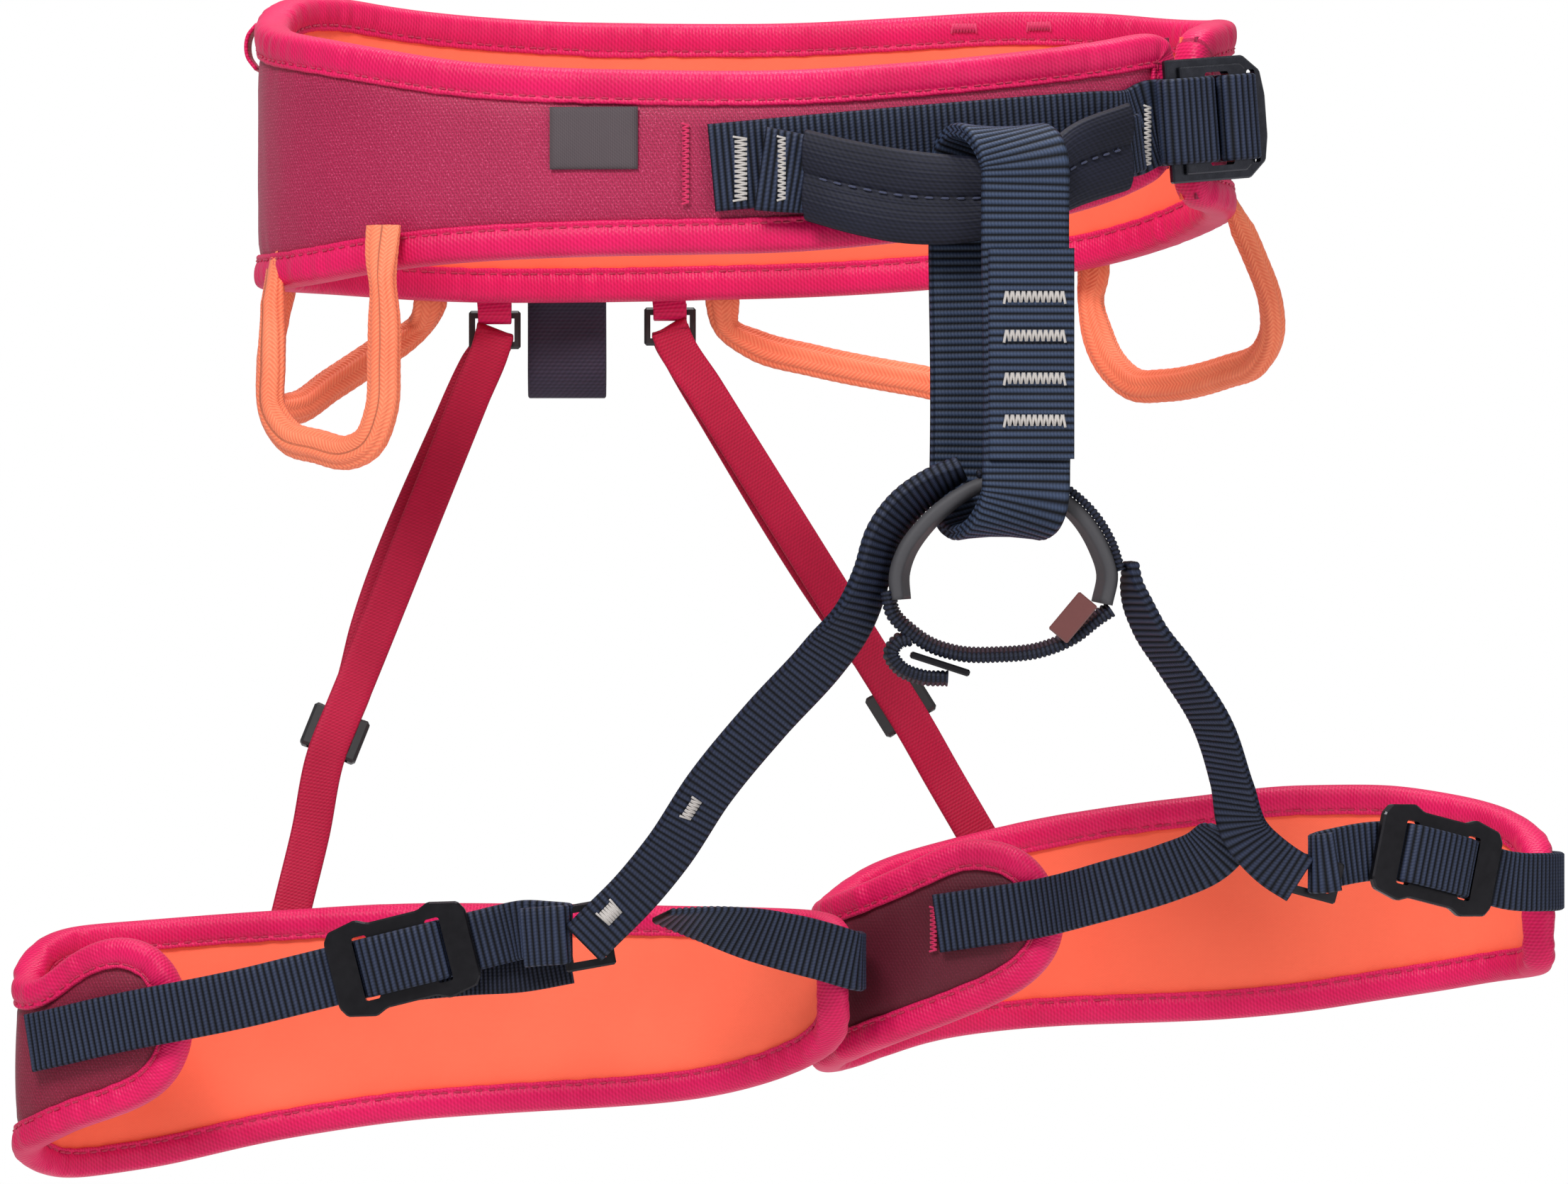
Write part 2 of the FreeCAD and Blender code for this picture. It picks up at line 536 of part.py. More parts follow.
def connectors():
    """Doubled straps from the ring down to the two leg loops."""
    left = [(61.5, -98.5, -90.6), (53.0, -98.5, -95.2), (44.1, -98.5, -101.8),
            (38.0, -98.5, -109.6), (34.4, -98.3, -120.0), (30.6, -95.8, -131.0),
            (22.0, -88.0, -144.5), (6.0, -79.5, -162.0), (-10.0, -70.0, -181.5),
            (-22.5, -61.0, -200.5), (-31.5, -55.0, -212.0), (-42.5, -51.5, -221.5)]
    acr = [(0.15, 0.95, -0.26), (0.29, 0.86, -0.4), (0.46, 0.78, -0.42), (0.53, 0.78, -0.31),
           (0.65, 0.74, -0.1), (0.7, 0.62, -0.28), (0.62, 0.3, -0.7), (0.72, 0.15, -0.62),
           (0.78, 0.1, -0.55), (0.8, 0.1, -0.5), (0.75, 0.0, -0.6), (0.5, 0.0, -0.8)]
    save("connector_left", strap(left, 14.5, 4.0, acr, 3))
    right = [(107.5, -98.5, -122.6), (109.9, -97.6, -128.5), (113.6, -95.4, -135.5),
             (122.0, -89.0, -146.5), (132.5, -80.0, -162.5), (139.0, -69.0, -180.5),
             (143.5, -58.5, -195.0), (152.0, -52.5, -203.0), (158.5, -50.5, -206.5)]
    acr = [(0.02, -1, 0.02), (0.2, -0.97, 0.1), (0.4, -0.88, 0.15), (0.55, -0.8, 0.2),
           (0.5, -0.8, 0.35), (0.4, -0.75, 0.5), (0.3, -0.5, 0.8), (0.2, -0.2, 0.95), (0.1, 0.0, 1.0)]
    save("connector_right", strap(right, 14.5, 3.0, acr, 3))


def link(pl, w, h):
    """Small rectangular metal link with a rounded window."""
    b = Part.makeBox(w, 2.0, h, V(-w / 2, -1.0, -h / 2))
    b = b.makeChamfer(0.6, b.Edges)
    return put(b.cut(Part.makeBox(w - 5.0, 6.0, h - 5.0, V(-w / 2 + 2.5, -3.0, -h / 2 + 2.5))), pl)


def links():
    save("crotch_link_left", link(frame_of(V(-45.5, -57.0, -224.0), 0, 10), 14.5, 19.0))
    save("crotch_link_right", link(frame_of(V(163.5, -54.4, -207.5), 8, -15), 14.5, 12.0))


# ---- belt trim ----------------------------------------------------------------------
def on_belt(t, out, z):
    (x, y), (nx, ny) = belt_at(t)
    return (x + nx * out, y + ny * out, z)


def patch(t0, t1, z0, z1, thick, out):
    return band(belt_at, angles(t0, t1, 4), lambda t: [(out, z0), (out, z1), (out + thick, z1),
                                                       (out + thick, z0)])


def belt_trim():
    save("label_tab", patch(251.2, 261.0, -5.5, 12.3, 0.8, 0.3))
    tabs = [strap([on_belt(171, 2.4, 41.0), on_belt(171, 5.2, 37.5), on_belt(171, 5.4, 31.5),
                   on_belt(171, 2.6, 27.5)], 8.5, 1.2, (0.1, 1, 0), 3)]
    save("ribbon_loop", Part.makeCompound(tabs))
    tacks = [patch(264.9, 266.2, -15.7, 7.6, 0.5, 0.3)]
    save("waist_bartack", Part.makeCompound(tacks))


RISER = {"left": dict(y=78.0, ring=(-75.4, -46.4), low=(-134.1, -220.0), slide=(-121.8, -167.5)),
         "right": dict(y=84.6, ring=(-23.0, -45.2), low=(67.8, -196.5), slide=(46.0, -159.0))}


def leg_rear(leg, x, out):
    """Point on the outside of a leg pad's rear at a given X."""
    best = min(angles(20, 175, 1), key=lambda t: abs(leg_at(leg, t)[0][0] - x))
    (px, py), (nx, ny) = leg_at(leg, best)
    return px + nx * out, py + ny * out


def risers():
    """Two elastic risers: tab folded through a moulded ring, front run, return, slider."""
    for side, leg in (("left", LEG_L), ("right", LEG_R)):
        r = RISER[side]
        x, z = r["ring"]
        y = r["y"]
        tab = [(x - 0.6, y - 2.4, -34.0), (x - 0.3, y - 2.4, -38.0), (x, y - 2.4, z + 4.2),
               (x, y - 1.7, z + 2.1), (x, y, z + 1.4), (x, y + 1.7, z + 2.1), (x, y + 2.4, z + 4.2),
               (x, y + 2.4, -39.0)]
        save("riser_tab_" + side, strap(tab, 10.0, 1.1, (1, 0, 0), 2))
        pl = FreeCAD.Placement(V(x, y, z), FreeCAD.Rotation(V(0, 0, 1), 0))
        b = Part.makeBox(15.5, 2.6, 11.5, V(-7.75, -1.3, -6.5))
        b = b.makeChamfer(0.7, b.Edges)
        hole = Part.makeBox(11.8, 8.0, 7.0, V(-5.9, -4.0, -4.3))
        save("riser_ring_" + side, put(b.cut(hole), pl))
        ly = leg_rear(leg, r["low"][0], 4.0)[1]
        sx, sz = r["slide"]
        top = V(x, y - 2.4, z - 3.0)
        f = (top.z - sz) / (top.z - r["low"][1])
        mid = V(sx, top.y + (ly - top.y) * f, sz)
        run = mid.sub(top).normalize()
        print("riser", side, "runs along", run, "slider at", mid)
        acr = V(-run.z, 0, run.x).normalize()
        end = (r["low"][0], ly, r["low"][1] - 14.0)
        half = top + (mid - top) * 0.5
        past = mid + run * 13.0
        up = [tuple(top), tuple(half), tuple(mid), tuple(past), (end[0], end[1], end[2] + 16.0), end]
        save("riser_strap_" + side, strap(up, RISER_W, RISER_T, tuple(acr), 2))
        k = -3.5 if side == "left" else 3.0
        low = mid - run * 14.0 + V(0, 3.4, 0)
        bow = (top + low) * 0.5 + V(k, 4.4, 0)
        back = [(x, y + 3.0, z - 4.0), tuple(bow), tuple(low)]
        save("riser_return_" + side, strap(back, RISER_W, RISER_T, tuple(acr), 3))
        out = run.cross(acr)
        turn = FreeCAD.Rotation(acr, out, run * -1 if run.z < 0 else run, "ZXY")
        pl = FreeCAD.Placement(mid, turn)
        b = Part.makeBox(17.5, 4.6, 13.5, V(-8.75, -2.3, -6.75))
        b = b.makeChamfer(0.9, b.Edges)
        hole = Part.makeBox(RISER_W + 2 * RUN + 0.6, RISER_T + 2 * RUN + 0.8, 30,
                            V(-RISER_W / 2 - RUN - 0.3, -RISER_T / 2 - RUN - 0.4, -15))
        b = b.cut(hole)
        for z0 in (-4.6, 1.0):
            b = b.cut(Part.makeBox(RISER_W, 6, 3.6, V(-RISER_W / 2, -6.0 - 0.2, z0)))
        save("riser_slider_" + side, put(b, pl))


def haul_loop():
    y = 86.2
    path = [(-54.0, y - 3.0, -30.0), (-54.0, y, -38.0), (-54.0, y + 0.8, -52.0),
            (-54.0, y + 1.2, -62.0), (-54.0, y + 5.0, -66.6), (-54.0, y + 8.8, -62.0),
            (-54.0, y + 8.4, -50.0), (-54.0, y + 5.6, -38.0), (-54.0, y + 3.6, -30.0)]
    save("haul_loop", strap(path, 23.5, 1.6, (1, 0, 0), 3))


# each loop: the two sewn ends as (angle, height) on the belt, and the run between them
GEAR_OUT = 4.2
GEAR = {
    "front_left": ((228.2, -21.0), [(-102.8, -70.0, -44.0), (-102.8, -71.0, -60.0),
                                    (-103.6, -70.3, -74.0), (-107.5, -67.0, -83.0),
                                    (-113.5, -62.0, -85.8), (-122.0, -55.5, -84.0),
                                    (-131.0, -48.0, -81.0), (-135.8, -44.0, -74.0),
                                    (-136.2, -43.0, -60.0), (-135.4, -44.0, -48.0)], (203, -33.0)),
    "back_left": ((127, -32.0), [(-98.0, 76.5, -46.0), (-111.0, 72.5, -55.0),
                                 (-124.0, 63.5, -64.0), (-134.0, 53.0, -71.0),
                                 (-140.0, 46.0, -71.0), (-141.0, 43.0, -59.0)], (158, -33.0)),
    "back_right": ((91.6, -31.0), [(-6.0, 88.5, -46.0), (3.0, 90.5, -51.5), (20.0, 91.5, -56.0),
                                   (51.0, 90.0, -62.0), (70.0, 86.5, -65.0),
                                   (82.0, 82.0, -61.0), (87.0, 78.5, -49.0)], (58, -27.0)),
    "front_right": ((48, -22.0), [(102.8, 68.5, -38.0), (104.5, 66.0, -48.0),
                                  (108.5, 61.0, -57.5), (115.5, 54.5, -64.0),
                                  (124.0, 47.0, -64.4), (142.0, 30.0, -60.6),
                                  (150.5, 20.5, -57.2), (154.2, 14.0, -50.0),
                                  (153.8, 9.5, -41.5), (150.5, 6.0, -28.0)], (2, -11.0)),
}


def gear_loops():
    for name, (start, run, end) in GEAR.items():
        ends = [on_belt(start[0], GEAR_OUT, start[1]), on_belt(start[0], GEAR_OUT + 1, start[1] - 8)]
        tail = [on_belt(end[0], GEAR_OUT + 1, end[1] - 8), on_belt(end[0], GEAR_OUT, end[1])]
        path = ends + run + tail
        outs = []
        for x, y, z in path:
            t = min(angles(-20, 330, 1), key=lambda q: math.hypot(belt_at(q)[0][0] - x,
                                                                  belt_at(q)[0][1] - y))
            nx, ny = belt_at(t)[1]
            outs.append((nx, ny, 0.0))
        save("gear_loop_" + name, braid_tube(path, outs))


waist_belt()
leg_pad(LEG_L, "left")
leg_pad(LEG_R, "right")
waist_webbing()
waist_buckle()
leg_buckle("left", LB_PL)
leg_buckle("right", RB_PL)
leg_webbing_left()
leg_webbing_right()
sleeve()
belay_loop()
ring()
connectors()
links()
belt_trim()
risers()
haul_loop()
gear_loops()
print("nodes", len(nodes))
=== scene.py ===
# %% [markdown]
# # A climbing harness, sewn and threaded in Blender
#
# The harness is a padded waist belt, two padded leg loops, and the webbing that ties them
# together. The CAD frame already says where every piece is, so this lesson dresses it: each soft
# solid is replaced by a surface worked out with numpy that has ribs, rolled edges and stitches,
# and each metal or moulded solid stays and gets a finish. Everything is in metres, in the frame of
# the CAD model; the tables below are in millimetres because a maker measures a harness that way.

# %% Load the frame
import math

import bmesh
import bpy
import numpy as np
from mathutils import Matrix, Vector


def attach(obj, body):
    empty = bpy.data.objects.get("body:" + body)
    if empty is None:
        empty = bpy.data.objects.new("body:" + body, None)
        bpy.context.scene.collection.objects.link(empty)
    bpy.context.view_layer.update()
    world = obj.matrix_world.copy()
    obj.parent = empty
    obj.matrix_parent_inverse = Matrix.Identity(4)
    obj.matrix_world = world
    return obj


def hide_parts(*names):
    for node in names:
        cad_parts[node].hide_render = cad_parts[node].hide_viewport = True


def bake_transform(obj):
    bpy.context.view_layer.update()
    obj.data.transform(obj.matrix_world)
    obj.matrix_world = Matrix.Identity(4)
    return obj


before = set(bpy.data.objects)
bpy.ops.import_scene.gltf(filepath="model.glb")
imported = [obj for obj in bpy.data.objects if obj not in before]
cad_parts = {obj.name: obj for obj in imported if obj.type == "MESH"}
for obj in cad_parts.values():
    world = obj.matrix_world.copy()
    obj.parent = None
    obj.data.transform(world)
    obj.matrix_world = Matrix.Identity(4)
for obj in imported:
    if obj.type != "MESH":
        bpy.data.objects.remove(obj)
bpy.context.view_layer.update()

MM = 0.001
UV_NAME = "weave"

# %% [markdown]
# ## Shader arithmetic in plain Python
#
# A woven finish is mostly arithmetic on a position: which rib is this, how far up its side are we.
# Wiring Math nodes by hand hides that, so one small class wraps a socket and turns `1 - mask *
# 0.5` into nodes. Colours never go through it, because a Math node would turn them grey: they are
# mixed with a Mix node.


# %% A socket that does arithmetic
class Val:
    """A number that varies over a surface, held as a node socket."""

    def __init__(self, paint, socket):
        self.paint, self.socket = paint, socket

    def _do(self, kind, a, b=None):
        return self.paint.node("ShaderNodeMath", {"operation": kind}, {0: a, 1: b})

    def __add__(self, other):
        return self._do("ADD", self, other)

    def __radd__(self, other):
        return self._do("ADD", other, self)

    def __sub__(self, other):
        return self._do("SUBTRACT", self, other)

    def __rsub__(self, other):
        return self._do("SUBTRACT", other, self)

    def __mul__(self, other):
        return self._do("MULTIPLY", self, other)

    def __rmul__(self, other):
        return self._do("MULTIPLY", other, self)

    def __truediv__(self, other):
        return self._do("DIVIDE", self, other)

    def __pow__(self, other):
        return self._do("POWER", self, other)

    def sin(self):
        return self._do("SINE", self)

    def abs(self):
        return self._do("ABSOLUTE", self)

    def fract(self):
        return self._do("FRACT", self)

    def floor(self):
        return self._do("FLOOR", self)

    def clamp(self):
        return self.paint.node("ShaderNodeClamp", {}, {0: self, 1: 0.0, 2: 1.0})


class Nodes:
    """The nodes of a material or of the world, all added by one method."""

    def __init__(self, owner):
        owner.use_nodes = True
        self.tree = owner.node_tree
        self.tree.nodes.clear()

    def node(self, kind, settings, values, out=0):
        """Adds a node: its settings first, then a value or a link for each named or numbered
        input."""
        made = self.tree.nodes.new(kind)
        for key, value in settings.items():
            setattr(made, key, value)
        for key, value in values.items():
            if isinstance(value, Val):
                self.tree.links.new(value.socket, made.inputs[key])
            elif value is not None:
                made.inputs[key].default_value = value
        return Val(self, made.outputs[out]) if made.outputs else None


class Paint(Nodes):
    """One material: a Principled shader and the nodes that feed it."""

    def __init__(self, name, rough=0.6, metal=0.0, sheen=0.0, coat=0.0, specular=0.5):
        self.mat = bpy.data.materials.new(name)
        super().__init__(self.mat)
        surface = self.node("ShaderNodeBsdfPrincipled", {}, {
            "Roughness": rough, "Metallic": metal, "Sheen Weight": sheen, "Coat Weight": coat,
            "Specular IOR Level": specular})
        self.shader = surface.socket.node
        self.node("ShaderNodeOutputMaterial", {}, {0: surface})

    def along_across(self):
        """The piece's own UV map, which counts millimetres along and across the cloth."""
        uv = self.node("ShaderNodeUVMap", {"uv_map": UV_NAME}, {})
        return self.axis(uv, 0), self.axis(uv, 1), uv

    def axis(self, vector, number):
        return self.node("ShaderNodeSeparateXYZ", {}, {0: vector}, number)

    def where(self):
        """Object coordinates, in metres in the frame of the harness."""
        return self.node("ShaderNodeTexCoord", {}, {}, "Object")

    def noise(self, vector, scale, detail=2.0, rough=0.5):
        return self.node("ShaderNodeTexNoise", {}, {
            "Vector": vector, "Scale": scale, "Detail": detail, "Roughness": rough}, "Fac")

    def mix(self, mask, first, second):
        """Mixes two colours; inputs 6 and 7 and output 2 are the colour sockets of a Mix node."""
        return self.node("ShaderNodeMix", {"data_type": "RGBA"}, {0: mask, 6: first, 7: second}, 2)

    def set(self, socket, value):
        self.tree.links.new(value.socket, self.shader.inputs[socket])

    def bump(self, height, distance, strength):
        self.set("Normal", self.node("ShaderNodeBump", {}, {
            "Height": height, "Distance": distance, "Strength": strength}))


def srgb(*colour):
    """A colour as it looks on screen, 0 to 255, turned into the light it reflects."""
    share = [c / 255 for c in colour]
    return (*(c / 12.92 if c <= 0.04045 else ((c + 0.055) / 1.055) ** 2.4 for c in share), 1.0)


def shaded(colour, share):
    """The same colour, darker."""
    return tuple(c * share for c in colour[:3]) + (1.0,)


print("shader arithmetic ready")

# %% [markdown]
# ## Finishes of the soft pieces
#
# Every cloth here is woven or knitted, and the eye reads that from fine regular relief and from a
# second colour down between the yarns; on the ribbed webbing that darker colour is painted shade,
# and the mesh carries a painted highlight on a few yarns. Each function below makes one finish from
# the UV map, which every strap and pad carries in millimetres, so that a rib is the same size
# wherever it goes. A slow noise shifts the colour a little, as handling does.


# %% Woven finishes
TURN = 2 * math.pi


def webbing_paint(name, crest, shaded_valley, rib, worn=0.25):
    """Ribbed webbing: the ribs themselves are geometry, this adds their yarns, painted shade down in
    the valleys between the ribs, and a paler crest that is partly painted light and partly wear."""
    p = Paint(name, rough=0.66, specular=0.2)
    along, across, uv = p.along_across()
    up = (along * (math.pi / rib)).sin().abs()
    yarn = (across * (TURN / 0.95) + (along * (TURN / rib)).sin() * 0.9).sin() * 0.5 + 0.5
    wear = p.noise(p.where(), 55.0, 3.0)
    # Painted shade and light: where the rib is low, between the ribs, the colour goes to the
    # near-black valley colour; the crests take the paler colour, paler still where the wear noise
    # adds real wear.
    tone = (up ** 1.6 * (yarn * 0.3 + 0.45 + wear * worn * 1.4) - 0.02).clamp()
    p.set("Base Color", p.mix(tone, shaded_valley, crest))
    p.set("Roughness", 0.7 - tone * 0.25)
    p.bump(yarn * 0.6 + p.noise(uv, 3.0, 2.0) * 0.4, 0.00012, 0.75)
    return p.mat


def ribbon_paint(name, light, dark, rib=0.75, twill=1.3, sheen=0.5, rough=0.5):
    """Fine grosgrain or twill tape: close ribs across the tape with a slanted twill under them."""
    p = Paint(name, rough=rough, sheen=sheen, specular=0.25)
    along, across, _ = p.along_across()
    ribs = (along * (TURN / rib)).sin() * 0.5 + 0.5
    slant = ((along * 0.8 + across) * (TURN / twill)).sin() * 0.5 + 0.5
    slow = p.noise(p.where(), 38.0, 2.0)
    tone = (ribs * 0.3 + slant * 0.25 + slow * 0.6 - 0.1).clamp()
    p.set("Base Color", p.mix(tone, dark, light))
    p.set("Roughness", rough + 0.12 - slow * 0.24)
    p.bump(ribs * 0.6 + slant * 0.4, 0.00014, 0.8)
    return p.mat


def mesh_paint(name, light, dark, glint, painted_shade=None):
    """Fine diamond mesh: two crossed slants make the holes, and a few yarns at random take the glint
    colour as a painted highlight. An optional painted shade (from x, to x, in front of y, in mm)
    darkens the mesh in front of that y between those x, where it lies in shadow."""
    p = Paint(name, rough=0.5, sheen=0.06, specular=0.4)
    along, across, uv = p.along_across()
    a = ((along + across * 0.6) * (TURN / 1.15)).sin()
    b = ((along - across * 0.6) * (TURN / 1.15)).sin()
    weave = (a * b * 0.3 + a * 0.25 + 0.5).clamp()
    grain = p.noise(uv, 1.9, 2.0, 0.7)
    slow = p.noise(p.where(), 24.0, 2.0)
    base = p.mix((weave * 0.75 + slow * 0.3 - 0.05).clamp(), dark, light)
    # Painted highlight: the brightest random yarns take the pale glint colour.
    spark = ((grain - 0.56) * 9.0).clamp() * 0.6
    colour = p.mix(spark, base, glint)
    # Painted shade: towards half the dark colour between the two x and in front of the given y.
    if painted_shade:
        left, right, behind = painted_shade
        x, y = p.axis(p.where(), 0) * 1000, p.axis(p.where(), 1) * 1000
        front = ((behind - y) * 0.1).clamp()
        deep = ((x - left) * 0.1).clamp() * ((right - x) * 0.12).clamp() * front * 0.7
        colour = p.mix(deep, colour, shaded(dark, 0.5))
    p.set("Base Color", colour)
    p.set("Roughness", 0.58 - spark * 0.28)
    p.bump(weave * 0.7 + grain * 0.3, 0.0001, 0.8)
    return p.mat


def knit_paint(name, light, dark):
    """Smooth brushed knit: tiny upright stitches, almost even in colour."""
    p = Paint(name, rough=0.85, sheen=0.1, specular=0.2)
    along, across, _ = p.along_across()
    loops = (along * (TURN / 0.9)).sin() * (across * (TURN / 0.7)).sin() * 0.5 + 0.5
    slow = p.noise(p.where(), 30.0, 3.0)
    p.set("Base Color", p.mix((loops * 0.25 + slow * 0.75).clamp(), dark, light))
    p.bump(loops, 0.00006, 0.6)
    return p.mat


def braid_paint(name, light, dark):
    """Braided tube: yarns cross in a herringbone between the lengthwise cords."""
    p = Paint(name, rough=0.6, sheen=0.08, specular=0.35)
    along, across, _ = p.along_across()
    lane = (across / 3.0).floor() * 0.5
    way = (lane.fract() * 4.0) - 1.0
    yarn = ((along + across * way * 0.8) * (TURN / 1.25)).sin() * 0.5 + 0.5
    slow = p.noise(p.where(), 45.0, 2.0)
    p.set("Base Color", p.mix((yarn * 0.45 + slow * 0.55).clamp(), dark, light))
    p.bump(yarn, 0.00014, 0.8)
    return p.mat


def plain_paint(name, colour, rough, sheen=0.0, grain=0.0, specular=0.5):
    """Thread, film and moulded plastic: one colour, a faint grain."""
    p = Paint(name, rough=rough, sheen=sheen, specular=specular)
    fine = p.noise(p.where(), 900.0, 2.0)
    slow = p.noise(p.where(), 60.0, 2.0)
    p.set("Base Color", p.mix((slow * 0.8 + fine * 0.2).clamp(), shaded(colour, 0.72), colour))
    p.bump(fine, 0.00004 + grain, 0.5)
    return p.mat


def metal_paint(name, colour, rough):
    """Anodised forging: dark, satin, with faint draw marks and lighter patches at random."""
    p = Paint(name, rough=rough, metal=0.85, coat=0.15)
    scuff = p.noise(p.where(), 320.0, 4.0, 0.7)
    slow = p.noise(p.where(), 40.0, 2.0)
    lighter = tuple(min(1.0, c * 1.9 + 0.01) for c in colour[:3]) + (1.0,)
    p.set("Base Color", p.mix((slow * 0.7 + scuff * 0.3).clamp(), colour, lighter))
    p.set("Roughness", rough + (scuff - 0.5) * 0.25)
    p.bump(scuff, 0.00003, 0.4)
    return p.mat


# The second colour of each webbing is painted shade: the near-black of the valleys between its ribs.
NAVY = webbing_paint("navy_webbing", srgb(54, 63, 88), srgb(2, 3, 8), 1.9)
NAVY_LOOP = webbing_paint("navy_loop_webbing", srgb(64, 78, 106), srgb(3, 4, 10), 2.05)
NAVY_FINE = webbing_paint("navy_fine_webbing", srgb(38, 43, 62), srgb(4, 5, 12), 1.3)
NAVY_STRAP = webbing_paint("navy_strap_webbing", srgb(48, 56, 80), srgb(4, 5, 12), 2.0)
GROSGRAIN = ribbon_paint("navy_grosgrain", srgb(33, 35, 54), srgb(2, 3, 8), 1.0, 1.9, 0.0, 0.66)
BINDING = ribbon_paint("pink_binding", srgb(240, 24, 104), srgb(176, 0, 62), 1.0, 1.5, 0.05, 0.46)
ELASTIC = ribbon_paint("crimson_elastic", srgb(196, 8, 66), srgb(140, 0, 38), 1.0, 1.1, 0.03, 0.6)
MESH = mesh_paint("magenta_mesh", srgb(188, 26, 84), srgb(112, 0, 42), srgb(222, 92, 132))
# The leg loops' mesh is a darker copy of the waist mesh: partly a deeper colour, partly painted
# shade. Its last argument adds painted shade on the front of the loops' inner ends.
MESH_LEG = mesh_paint("deep_and_shaded_magenta_mesh", srgb(146, 8, 54), srgb(88, 0, 30), srgb(172, 52, 92),
                      (22, 82, 22))
LINING = knit_paint("orange_knit", srgb(255, 116, 86), srgb(246, 98, 72))
BRAID = braid_paint("orange_braid", srgb(255, 150, 108), srgb(230, 96, 64))
LABEL = ribbon_paint("grey_label", srgb(96, 86, 90), srgb(66, 58, 62), 0.6, 0.9, 0.02, 0.8)
TAN_THREAD = plain_paint("tan_thread", srgb(196, 190, 186), 0.7, 0.1)
PINK_THREAD = plain_paint("pink_thread", srgb(216, 20, 92), 0.6, 0.2)
NAVY_THREAD = plain_paint("navy_thread", srgb(60, 66, 96), 0.7, 0.1)
FOAM = plain_paint("foam", srgb(238, 150, 120), 0.9)
RUBBER = plain_paint("charcoal_rubber", srgb(70, 69, 73), 0.62, 0.0, 0.00006, 0.4)
FILM = plain_paint("brown_film", srgb(112, 64, 62), 0.32, 0.0, 0.0, 0.6)
PLASTIC = plain_paint("black_moulding", srgb(34, 33, 36), 0.42)
GUNMETAL = metal_paint("gunmetal_anodised", srgb(44, 45, 52), 0.26)
BLACK_METAL = metal_paint("black_coated", srgb(24, 23, 27), 0.36)
print("finishes:", len(bpy.data.materials))

# %% [markdown]
# ## From arrays to a mesh
#
# A sewn piece is either a grid of points (a pad's face) or a closed outline carried along a path
# (a strap). Both come out as one array of shape (steps along, steps round, 3), so a single
# function can turn them into faces. It also writes the UV map, in millimetres, and gives the piece
# its name and finish; another small function hangs it on its body and hides the CAD nodes that it
# stands for.


# %% Grid to mesh
def cells(n_u, n_v, loop_u, loop_v, flip):
    """Corner numbers of the grid's quads, as an array."""
    i = np.arange(n_u if loop_u else n_u - 1)[:, None]
    j = np.arange(n_v if loop_v else n_v - 1)[None, :]
    i2, j2 = (i + 1) % n_u, (j + 1) % n_v
    quads = np.stack([i * n_v + j, i2 * n_v + j, i2 * n_v + j2, i * n_v + j2], -1).reshape(-1, 4)
    return quads[:, ::-1] if flip else quads


def make(name, points, faces, uv, paint, smooth=True):
    """A mesh object from arrays; uv is one pair per point, in millimetres."""
    data = bpy.data.meshes.new(name)
    data.from_pydata(points.reshape(-1, 3).tolist(), [], [list(map(int, f)) for f in faces])
    layer = data.uv_layers.new(name=UV_NAME)
    corner = np.empty(len(data.loops), np.int32)
    data.loops.foreach_get("vertex_index", corner)
    layer.data.foreach_set("uv", uv.reshape(-1, 2)[corner].astype(np.float32).ravel())
    data.polygons.foreach_set("use_smooth", np.full(len(data.polygons), smooth))
    data.materials.append(paint)
    data.update()
    obj = bpy.data.objects.new(name, data)
    bpy.context.scene.collection.objects.link(obj)
    return obj


def grid(name, points, uv, paint, loop_u=False, loop_v=False, caps=False, flip=False):
    """Quads over an array of points (n_u, n_v, 3); caps close the two ends of a tube."""
    n_u, n_v = points.shape[:2]
    faces = cells(n_u, n_v, loop_u, loop_v, flip).tolist()
    if caps:
        first = list(range(n_v))
        last = [(n_u - 1) * n_v + k for k in range(n_v)]
        faces += [first[::-1], last] if flip else [first, last[::-1]]
    return make(name, points, faces, uv, paint)


def belongs(obj, body, slot, *nodes):
    """Rides on a body and stands for CAD nodes, which it hides; the slot is not used."""
    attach(obj, body)
    if nodes:
        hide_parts(*nodes)
    return obj


# %% [markdown]
# ## Paths and straps
#
# Webbing is the easiest cloth to model: it keeps its width and thickness and only bends and
# twists. So a strap is a table of a few points, each with the direction of its width. `rail` draws
# a smooth line through the table and steps along it evenly, and `strap` carries an outline along
# that line. The ribs are real relief: the outline swells and sinks with the distance along, about
# six steps to a rib.


# %% Smooth rail
def hermite(s, h, y0, y1, m0, m1):
    """Cubic between two knots y0 and y1 with slopes m0 and m1, at the share s of a span h long."""
    return ((2 * s**3 - 3 * s**2 + 1) * y0 + (s**3 - 2 * s**2 + s) * h * m0
            + (3 * s**2 - 2 * s**3) * y1 + (s**3 - s**2) * h * m1)


def distance(line):
    """Running length along a line of points, starting at nought."""
    return np.concatenate([[0], np.cumsum(np.linalg.norm(np.diff(line, axis=0), axis=1))])


